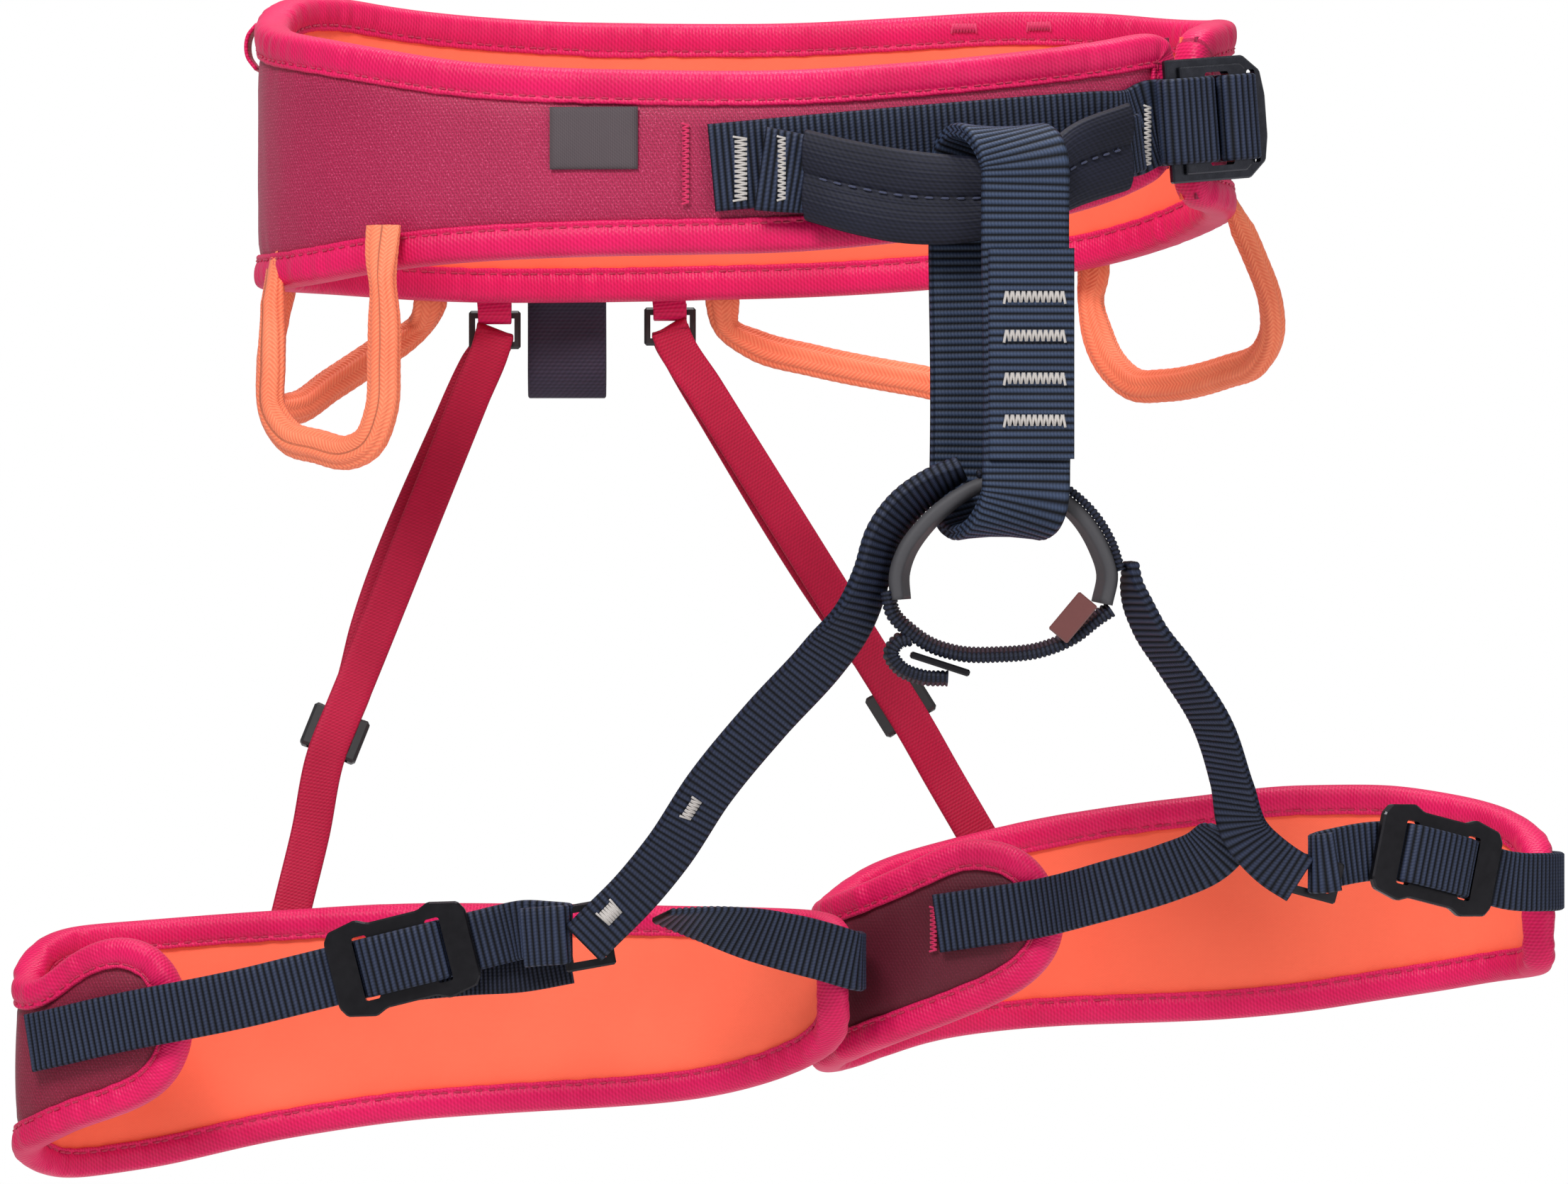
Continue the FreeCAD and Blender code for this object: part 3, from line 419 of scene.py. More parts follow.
def rail(rows, step):
    """Rows of numbers, the first three a point in mm. Cubic curve through all of them, each span
    blended from its end slopes, then stepped evenly by distance along."""
    rows = np.asarray(rows, float)
    gap = np.maximum(np.linalg.norm(np.diff(rows[:, :3], axis=0), axis=1), 1e-6)
    at = np.concatenate([[0], np.cumsum(gap)])
    secant = np.diff(rows, axis=0) / gap[:, None]
    slope = np.vstack([secant[:1], (secant[:-1] * gap[1:, None] + secant[1:] * gap[:-1, None])
                       / (gap[1:] + gap[:-1])[:, None], secant[-1:]])
    fine = np.linspace(0, at[-1], max(8, int(at[-1] * 6)))
    k = np.clip(np.searchsorted(at, fine, side="right") - 1, 0, len(gap) - 1)
    s = ((fine - at[k]) / gap[k])[:, None]
    h = gap[k][:, None]
    out = hermite(s, h, rows[k], rows[k + 1], slope[k], slope[k + 1])
    run = distance(out[:, :3])
    n = max(3, int(round(run[-1] / step)) + 1)
    even = np.linspace(0, run[-1], n)
    return np.stack([np.interp(even, run, out[:, c]) for c in range(out.shape[1])], 1), even


def unit(v):
    return v / np.maximum(np.linalg.norm(v, axis=-1, keepdims=True), 1e-9)


def axes(path, across, loop=False):
    """Tangent, width and face directions at every step of a path."""
    if loop:
        tan = unit(np.roll(path, -1, 0) - np.roll(path, 1, 0))
    else:
        tan = unit(np.gradient(path, axis=0))
    wide = unit(across - np.sum(across * tan, 1, keepdims=True) * tan)
    return tan, wide, np.cross(tan, wide)


EDGE = ((0.35, 0.85, 0.5), (0.8, 0.5, 0.1), (1.0, 0.0, 0.0), (0.8, -0.5, 0.1), (0.35, -0.85, 0.5))
DOUBLE_EDGE = ((0.4, 0.9, 0.5), (0.95, 0.5, 0.1), (0.25, 0.0, 0.0), (0.95, -0.5, 0.1),
               (0.4, -0.9, 0.5))
FLAT_POINTS = 7


def outline(width, thick, layers):
    """Closed outline of flat webbing: flat faces, rounded selvedges, and a groove at the edge
    between doubled layers. Columns: across, out, share of rib height, millimetres round."""
    half, t = width / 2, thick / 2
    bulge = t * 0.7
    flat = np.linspace(-half + bulge, half - bulge, FLAT_POINTS)
    edge = DOUBLE_EDGE if layers == 2 else EDGE
    top = [(a, t, 1.0) for a in flat]
    right = [(half - bulge + bulge * x, t * y, r) for x, y, r in edge]
    bottom = [(a, -t, 1.0) for a in flat[::-1]]
    left = [(-half + bulge - bulge * x, -t * y, r) for x, y, r in edge]
    rows = np.array(top + right + bottom + left)
    return np.column_stack([rows, distance(rows[:, :2])])


def strap_points(rows, width, thick, rib=1.9, high=0.55, layers=1, step=None, loop=False):
    """Points of a strap. Rows: x, y, z, then the width direction, then its own width if that
    varies. Each rib is the absolute sine of the distance along, so valleys are sharp and crests
    round."""
    line, dist = rail(rows, step or rib / 6)
    if loop:
        line, dist = line[:-1], dist[:-1]
    _, wide, face = axes(line[:, :3], line[:, 3:6], loop)
    mean, stretch = 1.0, np.ones((len(line), 1))
    if line.shape[1] > 6:
        stretch = line[:, 6:7]
        mean, width = float(stretch.mean()), 1.0
    shape = outline(width, thick / mean, layers)
    across = shape[:, 0][None, :] * stretch
    out = np.repeat(shape[:, 1][None, :] * mean, len(line), 0)
    if rib:
        wave = np.abs(np.sin(np.pi * dist / rib)) ** 0.7
        out = out + np.sign(out) * shape[:, 2][None, :] * (wave[:, None] - 0.75) * high
    points = (line[:, None, :3] + wide[:, None, :] * across[..., None]
              + face[:, None, :] * out[..., None])
    uv = np.stack(np.broadcast_arrays(dist[:, None], shape[:, 3][None, :] * mean), -1)
    return points * MM, uv


def strap(name, rows, width, thick, paint, body="", slot="", nodes=(), **how):
    points, uv = strap_points(rows, width, thick, **how)
    loop = how.get("loop", False)
    obj = grid(name, points, uv, paint, loop_u=loop, loop_v=True, caps=not loop, flip=True)
    return belongs(obj, body, slot, *nodes) if body else obj


def with_across(points, across):
    """Adds one width direction, or one a row, to a table of points."""
    points = np.asarray(points, float)
    across = np.broadcast_to(np.asarray(across, float), (len(points), 3))
    return np.column_stack([points, across])


# %% [markdown]
# ## Thread
#
# Stitches hold a harness together and are meant to be seen. A running stitch is a row of short
# spindles, one template of ten points copied to every place at once. A bar tack is one thread laid
# in a tight zigzag, so it is a thin tube along a zigzag path.


# %% Running stitches and bar tacks
def stitches(name, places, along, out, length, paint, thick=0.32):
    """Spindles: at each place, a small eight-sided bead drawn out along the seam. Arrays in mm."""
    side = np.cross(along, out)
    belts = [(x, math.cos(a), math.sin(a)) for x in (-0.3, 0.3) for a in np.arange(4) * TURN / 4]
    ring = np.array([(-0.5, 0, 0), *belts, (0.5, 0, 0)])
    local = ring * np.array([length, thick, thick])
    points = (places[:, None] + along[:, None] * local[None, :, :1]
              + side[:, None] * local[None, :, 1:2] + out[:, None] * local[None, :, 2:3])
    faces = []
    for k in range(4):
        m = (k + 1) % 4
        faces += [(0, 1 + m, 1 + k), (1 + k, 1 + m, 5 + m, 5 + k), (9, 5 + k, 5 + m)]
    every = [tuple(c + 10 * i for c in f) for i in range(len(places)) for f in faces]
    return make(name, points * MM, every, np.zeros((points.shape[0] * 10, 2)), paint)


def zigzag(centre, wide, tall, out, width, height, teeth):
    """Corner points of one bar tack, in mm: up and down between two edges while it walks across."""
    n = teeth * 2 + 1
    x = np.linspace(-width / 2, width / 2, n)
    z = np.where(np.arange(n) % 2 == 0, -height / 2, height / 2)
    centre, wide, tall, out = (np.asarray(v, float) for v in (centre, wide, tall, out))
    return centre + x[:, None] * wide + z[:, None] * tall + 0.25 * out


def tacks(name, lines, paint, thick=0.42):
    """Tubes of five sides along sharp zigzag lines, all in one mesh."""
    points, faces, base = [], [], 0
    for line in lines:
        fine = np.repeat(line, 2, 0)
        step = np.zeros_like(fine)
        step[1:-1:2] = (fine[2::2] - fine[1:-1:2]) * 0.12
        step[2::2] = (fine[1:-1:2] - fine[2::2]) * 0.12
        fine = fine + step
        tan = unit(np.gradient(fine, axis=0))
        plane = unit(np.cross(line[1] - line[0], line[2] - line[1]))
        side = unit(np.cross(tan, plane))
        a = np.arange(5) * TURN / 5
        ring = (fine[:, None] + side[:, None] * np.cos(a)[None, :, None] * thick
                + plane * np.sin(a)[None, :, None] * thick)
        n = len(fine)
        faces += (cells(n, 5, False, True, False) + base).tolist()
        faces += [[base + k for k in range(4, -1, -1)], [base + (n - 1) * 5 + k for k in range(5)]]
        points.append(ring.reshape(-1, 3))
        base += n * 5
    points = np.concatenate(points)
    obj = make(name, points * MM, faces, np.zeros((len(points), 2)), paint)
    outward(obj)
    return obj


def outward(obj):
    """Turns every face of closed shells outwards."""
    mesh = bmesh.new()
    mesh.from_mesh(obj.data)
    bmesh.ops.recalc_face_normals(mesh, faces=mesh.faces)
    mesh.to_mesh(obj.data)
    mesh.free()


print("surface tools ready")

# %% [markdown]
# ## The pads
#
# A pad starts as a flat pattern: a long strip whose top and bottom edges wave. It is then bent
# round the body. So its maths is done in two steps, first flat (distance along, height, distance
# out), then wrapped onto an oval. The oval is a superellipse, a little squarer than an ellipse, as
# a belt on a form is.


# %% Ovals and edge tables
BELT = dict(a=142.0, b=80.0, n=2.4, c=(0.0, 0.0), turn=0.0)
LEG_L = dict(a=121.4, b=34.0, n=2.15, c=(-92.0, -10.0), turn=-5.0)
LEG_R = dict(a=107.8, b=42.0, n=2.15, c=(127.85, 13.5), turn=-5.0)
BELT_EDGE = [(-26, 36, -14), (-10, 39, -15), (0, 40.5, -16), (15, 41.5, -18.5), (30, 43, -23),
             (45, 45.5, -28), (60, 46.5, -32), (75, 45, -35), (90, 43.3, -37), (105, 43.5, -38),
             (120, 44.8, -38.3), (135, 47, -37.5), (150, 49.5, -36.5), (165, 48, -36.3),
             (180, 41, -36.6), (195, 36, -37), (210, 33, -36), (225, 29, -33), (240, 24.5, -30.5),
             (255, 22.3, -29.2), (270, 21.6, -28.4), (285, 24, -25), (300, 27.5, -20),
             (315, 31.5, -13), (328, 35.3, -5.5)]
LEFT_EDGE = [(-8, -227, -246), (0, -222, -252), (25, -219, -263), (55, -218.5, -273.5),
             (90, -218, -279), (110, -220, -285), (135, -223, -294), (155, -225, -296.5),
             (172, -231, -293), (184, -239, -289), (200, -240, -286), (215, -230, -280),
             (225, -226, -276), (231, -228, -272), (235, -234, -267), (238, -245, -258)]
RIGHT_EDGE = [(-5, -208, -233), (0, -202, -236), (15, -195, -237.5), (30, -189.5, -239),
              (45, -186, -242), (60, -183.6, -245.5), (75, -184, -249.5), (90, -187.5, -252),
              (110, -193, -253.5), (130, -200, -256.7), (150, -207, -263), (165, -214, -266),
              (180, -218, -266), (195, -216, -264), (210, -212, -260), (225, -205, -254),
              (238, -198, -247), (246, -200, -241), (251, -208, -234), (253.5, -218, -227)]


def oval(o, t):
    """Points and outward directions of a superellipse at angles t in degrees: x is the half width
    times the cosine raised to two over n, y the same with the sine; the normal is the gradient of
    its equation."""
    t = np.radians(np.asarray(t, float))
    c, s, e = np.cos(t), np.sin(t), 2.0 / o["n"]
    p = np.stack([o["a"] * np.sign(c) * np.abs(c) ** e, o["b"] * np.sign(s) * np.abs(s) ** e], -1)
    size = np.array([o["a"], o["b"]])
    g = unit(np.sign(p) * np.abs(p / size) ** (o["n"] - 1) / size)
    r = math.radians(o["turn"])
    spin = np.array([[math.cos(r), -math.sin(r)], [math.sin(r), math.cos(r)]])
    return p @ spin.T + np.array(o["c"]), g @ spin.T


def smooth(table, t, col):
    """Monotone cubic through the rows of a table: where two spans slope the same way the knot takes
    their harmonic mean, elsewhere it is level, so the curve never swings past its knots."""
    table = np.asarray(table, float)
    x, y = table[:, 0], table[:, col]
    d = np.diff(y) / np.diff(x)
    m = np.zeros_like(y)
    same = d[:-1] * d[1:] > 0
    m[1:-1][same] = 2 * d[:-1][same] * d[1:][same] / (d[:-1] + d[1:])[same]
    t = np.clip(t, x[0], x[-1])
    i = np.clip(np.searchsorted(x, t, side="right") - 1, 0, len(d) - 1)
    h = x[i + 1] - x[i]
    s = (t - x[i]) / h
    return hermite(s, h, y[i], y[i + 1], m[i], m[i + 1])


class Pad:
    """A padded band: its plan oval, its edges, and the way from flat cloth to the place on the
    body."""

    def __init__(self, plan, edge, depth, corner):
        self.plan, self.edge, self.depth, self.corner = plan, edge, depth, corner
        t = np.linspace(edge[0][0], edge[-1][0], 4000)
        p, _ = oval(plan, t)
        self.t = t
        self.s = distance(p)
        self.long = self.s[-1]

    def angle(self, s):
        return np.interp(s, self.s, self.t)

    def top(self, s):
        return smooth(self.edge, self.angle(s), 1)

    def low(self, s):
        return smooth(self.edge, self.angle(s), 2)

    def at_x(self, x, front):
        """Distance along at which the front or the back of the oval passes a given x."""
        p, _ = oval(self.plan, self.t)
        side = p[:, 1] < self.plan["c"][1] if front else p[:, 1] >= self.plan["c"][1]
        gap = np.where(side, np.abs(p[:, 0] - x), 1e9)
        return self.s[np.argmin(gap)]

    def place(self, s, z, out):
        """Flat cloth to body: walk s round the oval, go out along its normal, and keep the
        height."""
        over = s - np.clip(s, 0, self.long)
        p, n = oval(self.plan, self.angle(np.clip(s, 0, self.long)))
        tan = np.stack([-n[..., 1], n[..., 0]], -1)
        xy = p + n * out[..., None] + tan * over[..., None]
        return np.concatenate([xy, z[..., None]], -1)


WAIST = Pad(BELT, BELT_EDGE, 8.0, 7.0)
LEFT = Pad(LEG_L, LEFT_EDGE, 7.0, 5.0)
RIGHT = Pad(LEG_R, RIGHT_EDGE, 7.0, 5.0)
PADS = {"waist": (WAIST, "waist", "waist_{}"), "left": (LEFT, "yoke", "leg_{}_left"),
        "right": (RIGHT, "yoke", "leg_{}_right")}
for key, (pad, _, _) in PADS.items():
    print(key, "pattern", round(pad.long), "mm long")

# %% [markdown]
# ### Foam, blown up by a cloth simulation
#
# Foam between two sewn cloths swells in the middle and thins at the edges, and the swell wanders a
# little where the cloth is puckered. That is what a pressure cloth does, so each core is a closed
# shell of about 4 mm cells, pinned along the seam, and the solver blows it up for twenty frames
# without gravity. The swell is capped, so it never leaves the room the CAD pad has, and the
# outside cloth is laid over the result.


# %% Inflate the cores
CELL, SEAM_INSET, ROWS_UP = 4.2, 3.0, 9
FRAMES = 20


def shell(pad):
    """Closed grid shell in body space: the front face, then the back face, sharing their edges.
    Cells are even in distance along, and each column is divided evenly between its two edges."""
    n_s, n_z, inset = int(pad.long / CELL), ROWS_UP, SEAM_INSET
    s = np.linspace(inset, pad.long - inset, n_s)
    v = np.linspace(0, 1, n_z)
    top, low = pad.top(s) - inset, pad.low(s) + inset
    z = low[:, None] + (top - low)[:, None] * v[None, :]
    ss = np.repeat(s[:, None], n_z, 1)
    rim = np.minimum(np.minimum(v, 1 - v)[None, :] * (top - low)[:, None],
                     np.minimum(s - s[0], s[-1] - s)[:, None])
    near = np.clip(rim / 5.0, 0, 1)
    half = pad.depth / 2 * np.sqrt(near * (2 - near)) * 0.66 + 0.25
    mid = -pad.depth / 2
    front = pad.place(ss, z, mid + half)
    back = pad.place(ss, z, mid - half)
    return s, v, rim, np.stack([front, back])


def rounded(obj):
    """One level of subdivision, the same in the view and in the render."""
    sub = obj.modifiers.new("Round", "SUBSURF")
    sub.levels = sub.render_levels = 1
    return obj


def swell(obj):
    """Twenty frames of a pressure cloth without gravity, pinned at its seam; returns the new
    points."""
    mod = obj.modifiers.new("Swell", "CLOTH")
    for setting, value in dict(quality=5, mass=0.15, tension_stiffness=12, compression_stiffness=12,
                               bending_stiffness=1.5, use_pressure=True, uniform_pressure_force=4.0,
                               vertex_group_mass="seam").items():
        setattr(mod.settings, setting, value)
    mod.settings.effector_weights.gravity = 0.0
    mod.point_cache.frame_start, mod.point_cache.frame_end = 1, FRAMES
    for frame_number in range(1, FRAMES + 1):
        bpy.context.scene.frame_set(frame_number)
    baked = obj.evaluated_get(bpy.context.evaluated_depsgraph_get())
    co = np.empty(len(baked.data.vertices) * 3, np.float32)
    baked.data.vertices.foreach_get("co", co)
    obj.modifiers.remove(mod)
    bpy.context.scene.frame_set(1)
    return co.reshape(-1, 3)


def inflate(name, pad, body, node):
    """Runs the cloth solver on a core and returns how far each face swelled at every grid point."""
    s, v, rim, pair = shell(pad)
    n_s, n_z = rim.shape
    edge = np.ones((n_s, n_z), bool)
    edge[1:-1, 1:-1] = False
    ids_f = np.arange(n_s * n_z).reshape(n_s, n_z)
    ids_b = ids_f + n_s * n_z
    mid = pair.mean(0)
    points = np.concatenate([np.where(edge[..., None], mid, pair[0]).reshape(-1, 3),
                             pair[1].reshape(-1, 3)])
    ids_b = np.where(edge, ids_f, ids_b)
    quads = []
    for ids, flip in ((ids_f, False), (ids_b, True)):
        q = np.stack([ids[:-1, :-1], ids[1:, :-1], ids[1:, 1:], ids[:-1, 1:]], -1).reshape(-1, 4)
        quads.append(q[:, ::-1] if flip else q)
    quads = np.concatenate(quads)
    keep = np.unique(quads)
    new = np.full(len(points), -1)
    new[keep] = np.arange(len(keep))
    rest = points[keep] * MM
    su = np.concatenate([np.repeat(s, n_z), np.repeat(s, n_z)])
    sv = np.tile(v * 50, n_s * 2)
    obj = make(name, rest, new[quads].tolist(), np.stack([su, sv], -1)[keep], FOAM)
    pin = obj.vertex_groups.new(name="seam")
    seam = np.concatenate([rim.ravel(), np.full(rim.size, 9.0)])[keep]
    pin.add(np.flatnonzero(seam < 4.0).tolist(), 1.0, "REPLACE")
    moved = swell(obj) - rest
    far = np.linalg.norm(moved, axis=1, keepdims=True)
    cap = pad.depth * 0.17 * MM
    moved = moved / np.maximum(far, 1e-9) * (cap * (1 - np.exp(-far / cap)))
    obj.data.vertices.foreach_set("co", (rest + moved).astype(np.float32).ravel())
    rounded(belongs(obj, body, "foam", node))
    whole = np.zeros((n_s * n_z * 2, 3))
    whole[keep] = moved / MM
    print(name, "swelled by up to", round(float(far.max()) * 1000, 2), "mm")
    both = np.linalg.norm(whole, axis=1).reshape(2, n_s, n_z)
    return s, v, both[0], both[1]


SWELL = {key: inflate("core_" + key, pad, body, node.format("foam"))
         for key, (pad, body, node) in PADS.items()}

# %% [markdown]
# ### Skins
#
# The outside is a fine mesh, the inside a soft knit. Each is a thin closed sheet laid on the
# swollen core: it stands proud where the foam swelled, dips where the binding's stitch line pulls
# it in, and has a few slow wrinkles that grow where the belt bends hardest. A sheet's grid is a
# closed outline carried along the pattern: up the front of the cloth and down its back.


# %% Lay the mesh and the knit
def bend(pad, s):
    """How sharply the plan curve turns at s, in radians a millimetre, smoothed over a few steps."""
    t = pad.angle(s)
    _, n = oval(pad.plan, t)
    turn = np.linalg.norm(np.gradient(n, axis=0), axis=1) / np.gradient(s)
    return np.convolve(turn, np.ones(9) / 9, "same")


SKIN_STEP, SKIN_THICK, SKIN_INSET, SKIN_ROWS = 2.3, 0.7, 1.6, 25


def skin(name, key, outside, paint, slot, seed):
    """One sheet: height runs between the two edges, closer together near them, and the distance out
    follows the foam."""
    pad, body, node = PADS[key]
    s = np.linspace(SKIN_INSET, pad.long - SKIN_INSET, int(pad.long / SKIN_STEP))
    v = 0.5 - 0.5 * np.cos(np.linspace(0, np.pi, SKIN_ROWS))
    top, low = pad.top(s) - SKIN_INSET, pad.low(s) + SKIN_INSET
    z = low[:, None] + (top - low)[:, None] * v
    ss = np.repeat(s[:, None], len(v), 1)
    rim = np.minimum(np.minimum(v, 1 - v)[None, :] * (top - low)[:, None] + SKIN_INSET,
                     np.minimum(s, pad.long - s)[:, None])
    s0, v0, out_swell, in_swell = SWELL[key]
    table = out_swell if outside else in_swell
    row = np.array([np.interp(s, s0, table[:, k]) for k in range(table.shape[1])]).T
    lift = np.array([np.interp(v, v0, r) for r in row])
    rise = lift * 0.8 - 1.1 * np.exp(-np.maximum(rim - 8.0, 0) / 2.6)
    random = np.random.default_rng(seed)
    for wave in random.uniform([9, 4, 0], [26, 9, TURN], (7, 3)):
        slant = random.uniform(-0.35, 0.35)
        ripple = np.sin((ss + slant * z) * TURN / wave[0] + wave[2])
        rise += 0.05 * ripple * np.cos(z / wave[1] * 0.7)
    fold = np.clip(bend(pad, s) * 40, 0, 1)[:, None]
    edge = np.exp(-((rim - 11) / 4.0) ** 2)
    rise += 0.22 * fold * edge * np.sin(ss * TURN / 7.5 + 1.5 * np.sin(ss / 13))
    rise = np.minimum(rise, 0.9)
    out = rise if outside else -pad.depth - rise
    inner = out - SKIN_THICK if outside else out + SKIN_THICK
    front = pad.place(ss, z, out)
    back = pad.place(ss, z, inner)
    ring = np.concatenate([front, back[:, ::-1]], 1)
    flat = np.stack([ss, z], -1)
    uv = np.concatenate([flat, flat[:, ::-1]], 1)
    obj = grid(name, ring * MM, uv, paint, loop_v=True, caps=True, flip=outside)
    outward(obj)
    belongs(obj, body, slot, node.format(slot))


for key, paint, seed in (("waist", MESH, 3), ("left", MESH_LEG, 5), ("right", MESH_LEG, 8)):
    skin("mesh_" + key, key, True, paint, "mesh", seed)
    skin("knit_" + key, key, False, LINING, "lining", seed + 40)
print("skins laid on", list(SWELL))

# %% [markdown]
# ### Edge binding
#
# Binding is a twill tape folded over the raw edge and stitched through. Seen from its end it is a
# fat U, a little pinched where the stitches pull. The same U is swept once round the pad's whole
# outline, ends included, so the tape turns the corners as it does in the sewing machine. It
# puckers between stitches, and more at the tight bends. The running stitch itself is laid in the
# pinch, on both faces.


# %% Sweep the binding
FINE, TAPE_STEP = 0.5, 1.3


def resample(line, even):
    """Closed flat line walked again at the given distances; even() turns its length into them."""
    closed = np.vstack([line, line[:1]])
    run = distance(closed)
    at = even(run[-1])
    return np.stack([np.interp(at, run, closed[:, k]) for k in (0, 1)], 1), at


def rim_line(pad):
    """The pad's outline in flat cloth, corners softened by a running average, as (s, z), the inward
    normal and the distance of every step."""
    s = np.arange(0, pad.long, FINE)
    up = np.linspace(0, 1, 60)[1:-1]
    top, low = pad.top([pad.long]), pad.low([pad.long])
    end = np.array([[pad.long, z] for z in top + (low - top) * up])
    top, low = pad.top([0.0]), pad.low([0.0])
    start = np.array([[0.0, z] for z in low + (top - low) * up])
    line = np.concatenate([np.column_stack([s, pad.top(s)]), end,
                           np.column_stack([s[::-1], pad.low(s[::-1])]), start])
    line, _ = resample(line, lambda total: np.arange(0, total, FINE))
    half = int(pad.corner / FINE)
    for _ in range(3):
        total = np.cumsum(np.vstack([line[-half:], line, line[:half]]), axis=0)
        moving = total[2 * half:] - np.vstack([[0, 0], total[:-2 * half - 1]])
        line = moving[:len(line)] / (2 * half + 1)
    line, run = resample(line, lambda total: np.linspace(0, total, int(total / TAPE_STEP),
                                                         endpoint=False))
    tan = unit(np.roll(line, -1, 0) - np.roll(line, 1, 0))
    return line, np.column_stack([tan[:, 1], -tan[:, 0]]), run


def tape_section(depth, wide):
    """The fat U as rows of (distance in from the edge, distance out), outside face first, then the
    hidden way back through the foam."""
    face = [(9.7, -0.9), (9.8, 0.1), (9.3, 0.75), (8.5, 0.8), (7.9, 0.45), (7.3, 0.85), (5.6, 1.15),
            (3.6, 1.2), (1.8, 1.05), (0.5, 0.6), (-0.5, -0.3), (-1.15, -1.8)]
    inside = [(e, -depth - o) for e, o in face[::-1]]
    way_back = [(8.4, -depth + 1.6), (8.0, -depth / 2), (8.4, -1.6)]
    rows = np.array(face + [(-1.4, -depth / 2)] + inside + way_back)
    rows[:, 0] *= np.where(rows[:, 0] > 0, wide, 0.8)
    return rows


SEAM_IN, STITCH_EVERY = 7.9, 2.6


def binding(key, wide, seed, lap):
    """Sweeps the U round the outline. Pucker: a short wave along the tape whose size follows the
    bend. Where its two ends lap, at lap, the tape is double."""
    pad, body, node = PADS[key]
    line, inward, run = rim_line(pad)
    section = tape_section(pad.depth, wide)
    random = np.random.default_rng(seed)
    hard = np.clip(np.interp(line[:, 0], pad.s[::8], bend(pad, pad.s[::8])) * 45, 0, 1)
    pucker = np.zeros(len(line))
    for wave, phase in random.uniform([4.5, 0], [16, TURN], (6, 2)):
        pucker += np.sin(run * TURN / wave + phase) / 3
    tuck = 0.5 + 0.5 * np.sin(run * TURN / 3.4)
    e, o = section[:, 0], section[:, 1]
    side = np.where(o > -pad.depth / 2, 1.0, -1.0)
    fat = np.clip((8.6 - e) / 5.0, 0, 1) * np.clip((e + 1.6) / 2.0, 0, 1)
    out = o + side * fat * (0.2 + 0.4 * hard[:, None]) * pucker[:, None] * 0.8
    middle = (pad.top(line[:, 0]) + pad.low(line[:, 0])) / 2
    over = (np.abs(line[:, 0] - lap) < 9) & (line[:, 1] > middle)
    out = out + side * fat * 0.55 * over[:, None]
    pinch = np.exp(-((e - SEAM_IN * wide) / 0.9) ** 2)
    out = out - side * pinch * (0.15 + tuck[:, None] * 0.3)
    depth = e * (1 + 0.05 * over[:, None]) + 0.12 * pucker[:, None] * np.clip(e / 9, 0, 1)
    flat = line[:, None, :] + inward[:, None, :] * depth[..., None]
    points = pad.place(flat[..., 0], flat[..., 1], out)
    around = np.concatenate([[0], np.cumsum(np.hypot(np.diff(e), np.diff(o)))])
    uv = np.stack(np.broadcast_arrays(run[:, None], around[None, :]), -1)
    obj = grid("binding_" + key, points * MM, uv, BINDING, loop_u=True, loop_v=True)
    outward(obj)
    rounded(belongs(obj, body, "binding", node.format("binding")))
    pick = np.arange(0, len(line), STITCH_EVERY).astype(int)
    at = line[pick] + inward[pick] * SEAM_IN * wide
    ahead = at + np.column_stack([-inward[pick][:, 1], inward[pick][:, 0]])
    _, n = oval(pad.plan, pad.angle(at[:, 0]))
    normal = np.column_stack([n, np.zeros(len(n))])
    for face, height, way in (("out", 0.55, 1), ("in", -pad.depth - 0.55, -1)):
        level = np.full(len(pick), height)
        p = pad.place(at[:, 0], at[:, 1], level)
        q = pad.place(ahead[:, 0], ahead[:, 1], level)
        seam = stitches(f"binding_{key}_stitch_{face}", p, unit(q - p), normal * way, 2.3,
                        BINDING_THREAD, 0.3)
        belongs(seam, body, "binding")


BINDING_THREAD = plain_paint("binding_thread", srgb(196, 4, 76), 0.55, 0.2)
binding("waist", 0.94, 11, WAIST.at_x(-40.0, False))
binding("left", 0.8, 12, LEFT.at_x(-115.0, False))
binding("right", 0.8, 13, RIGHT.at_x(88.0, False))
print("bindings swept")

# %% [markdown]
# ## Webbing of the waist
#
# The buckles are flat plates set at an angle, so their webbing is easiest to draw in the plate's
# own directions: along the webbing, out of the front, and across. One small function turns such a
# place into the frame of the harness; the same webbing then leaves the plate and lies along the
# belt.


# %% Plate directions and the waist webbing
class Plate:
    """A tilted plate: a centre in mm, a yaw about the vertical and a roll in its own plane."""

    def __init__(self, centre, yaw, roll):
        self.centre = np.array(centre, float)
        y, r = math.radians(yaw), math.radians(roll)
        spin = np.array([[math.cos(y), -math.sin(y), 0], [math.sin(y), math.cos(y), 0], [0, 0, 1]])
        tilt = np.array([[math.cos(r), 0, -math.sin(r)], [0, 1, 0], [math.sin(r), 0, math.cos(r)]])
        self.turn = spin @ tilt

    def at(self, u, n, w=0.0):
        return self.centre + self.turn @ np.array([u, -n, w])

    @property
    def across(self):
        return self.turn @ np.array([0, 0, 1.0])


UP = (0.0, 0.0, 1.0)


def beside(o, t, out, z):
    """One place beside an oval, as a plain triple in mm."""
    p, n = oval(o, [t])
    return (p[0, 0] + n[0, 0] * out, p[0, 1] + n[0, 1] * out, z)


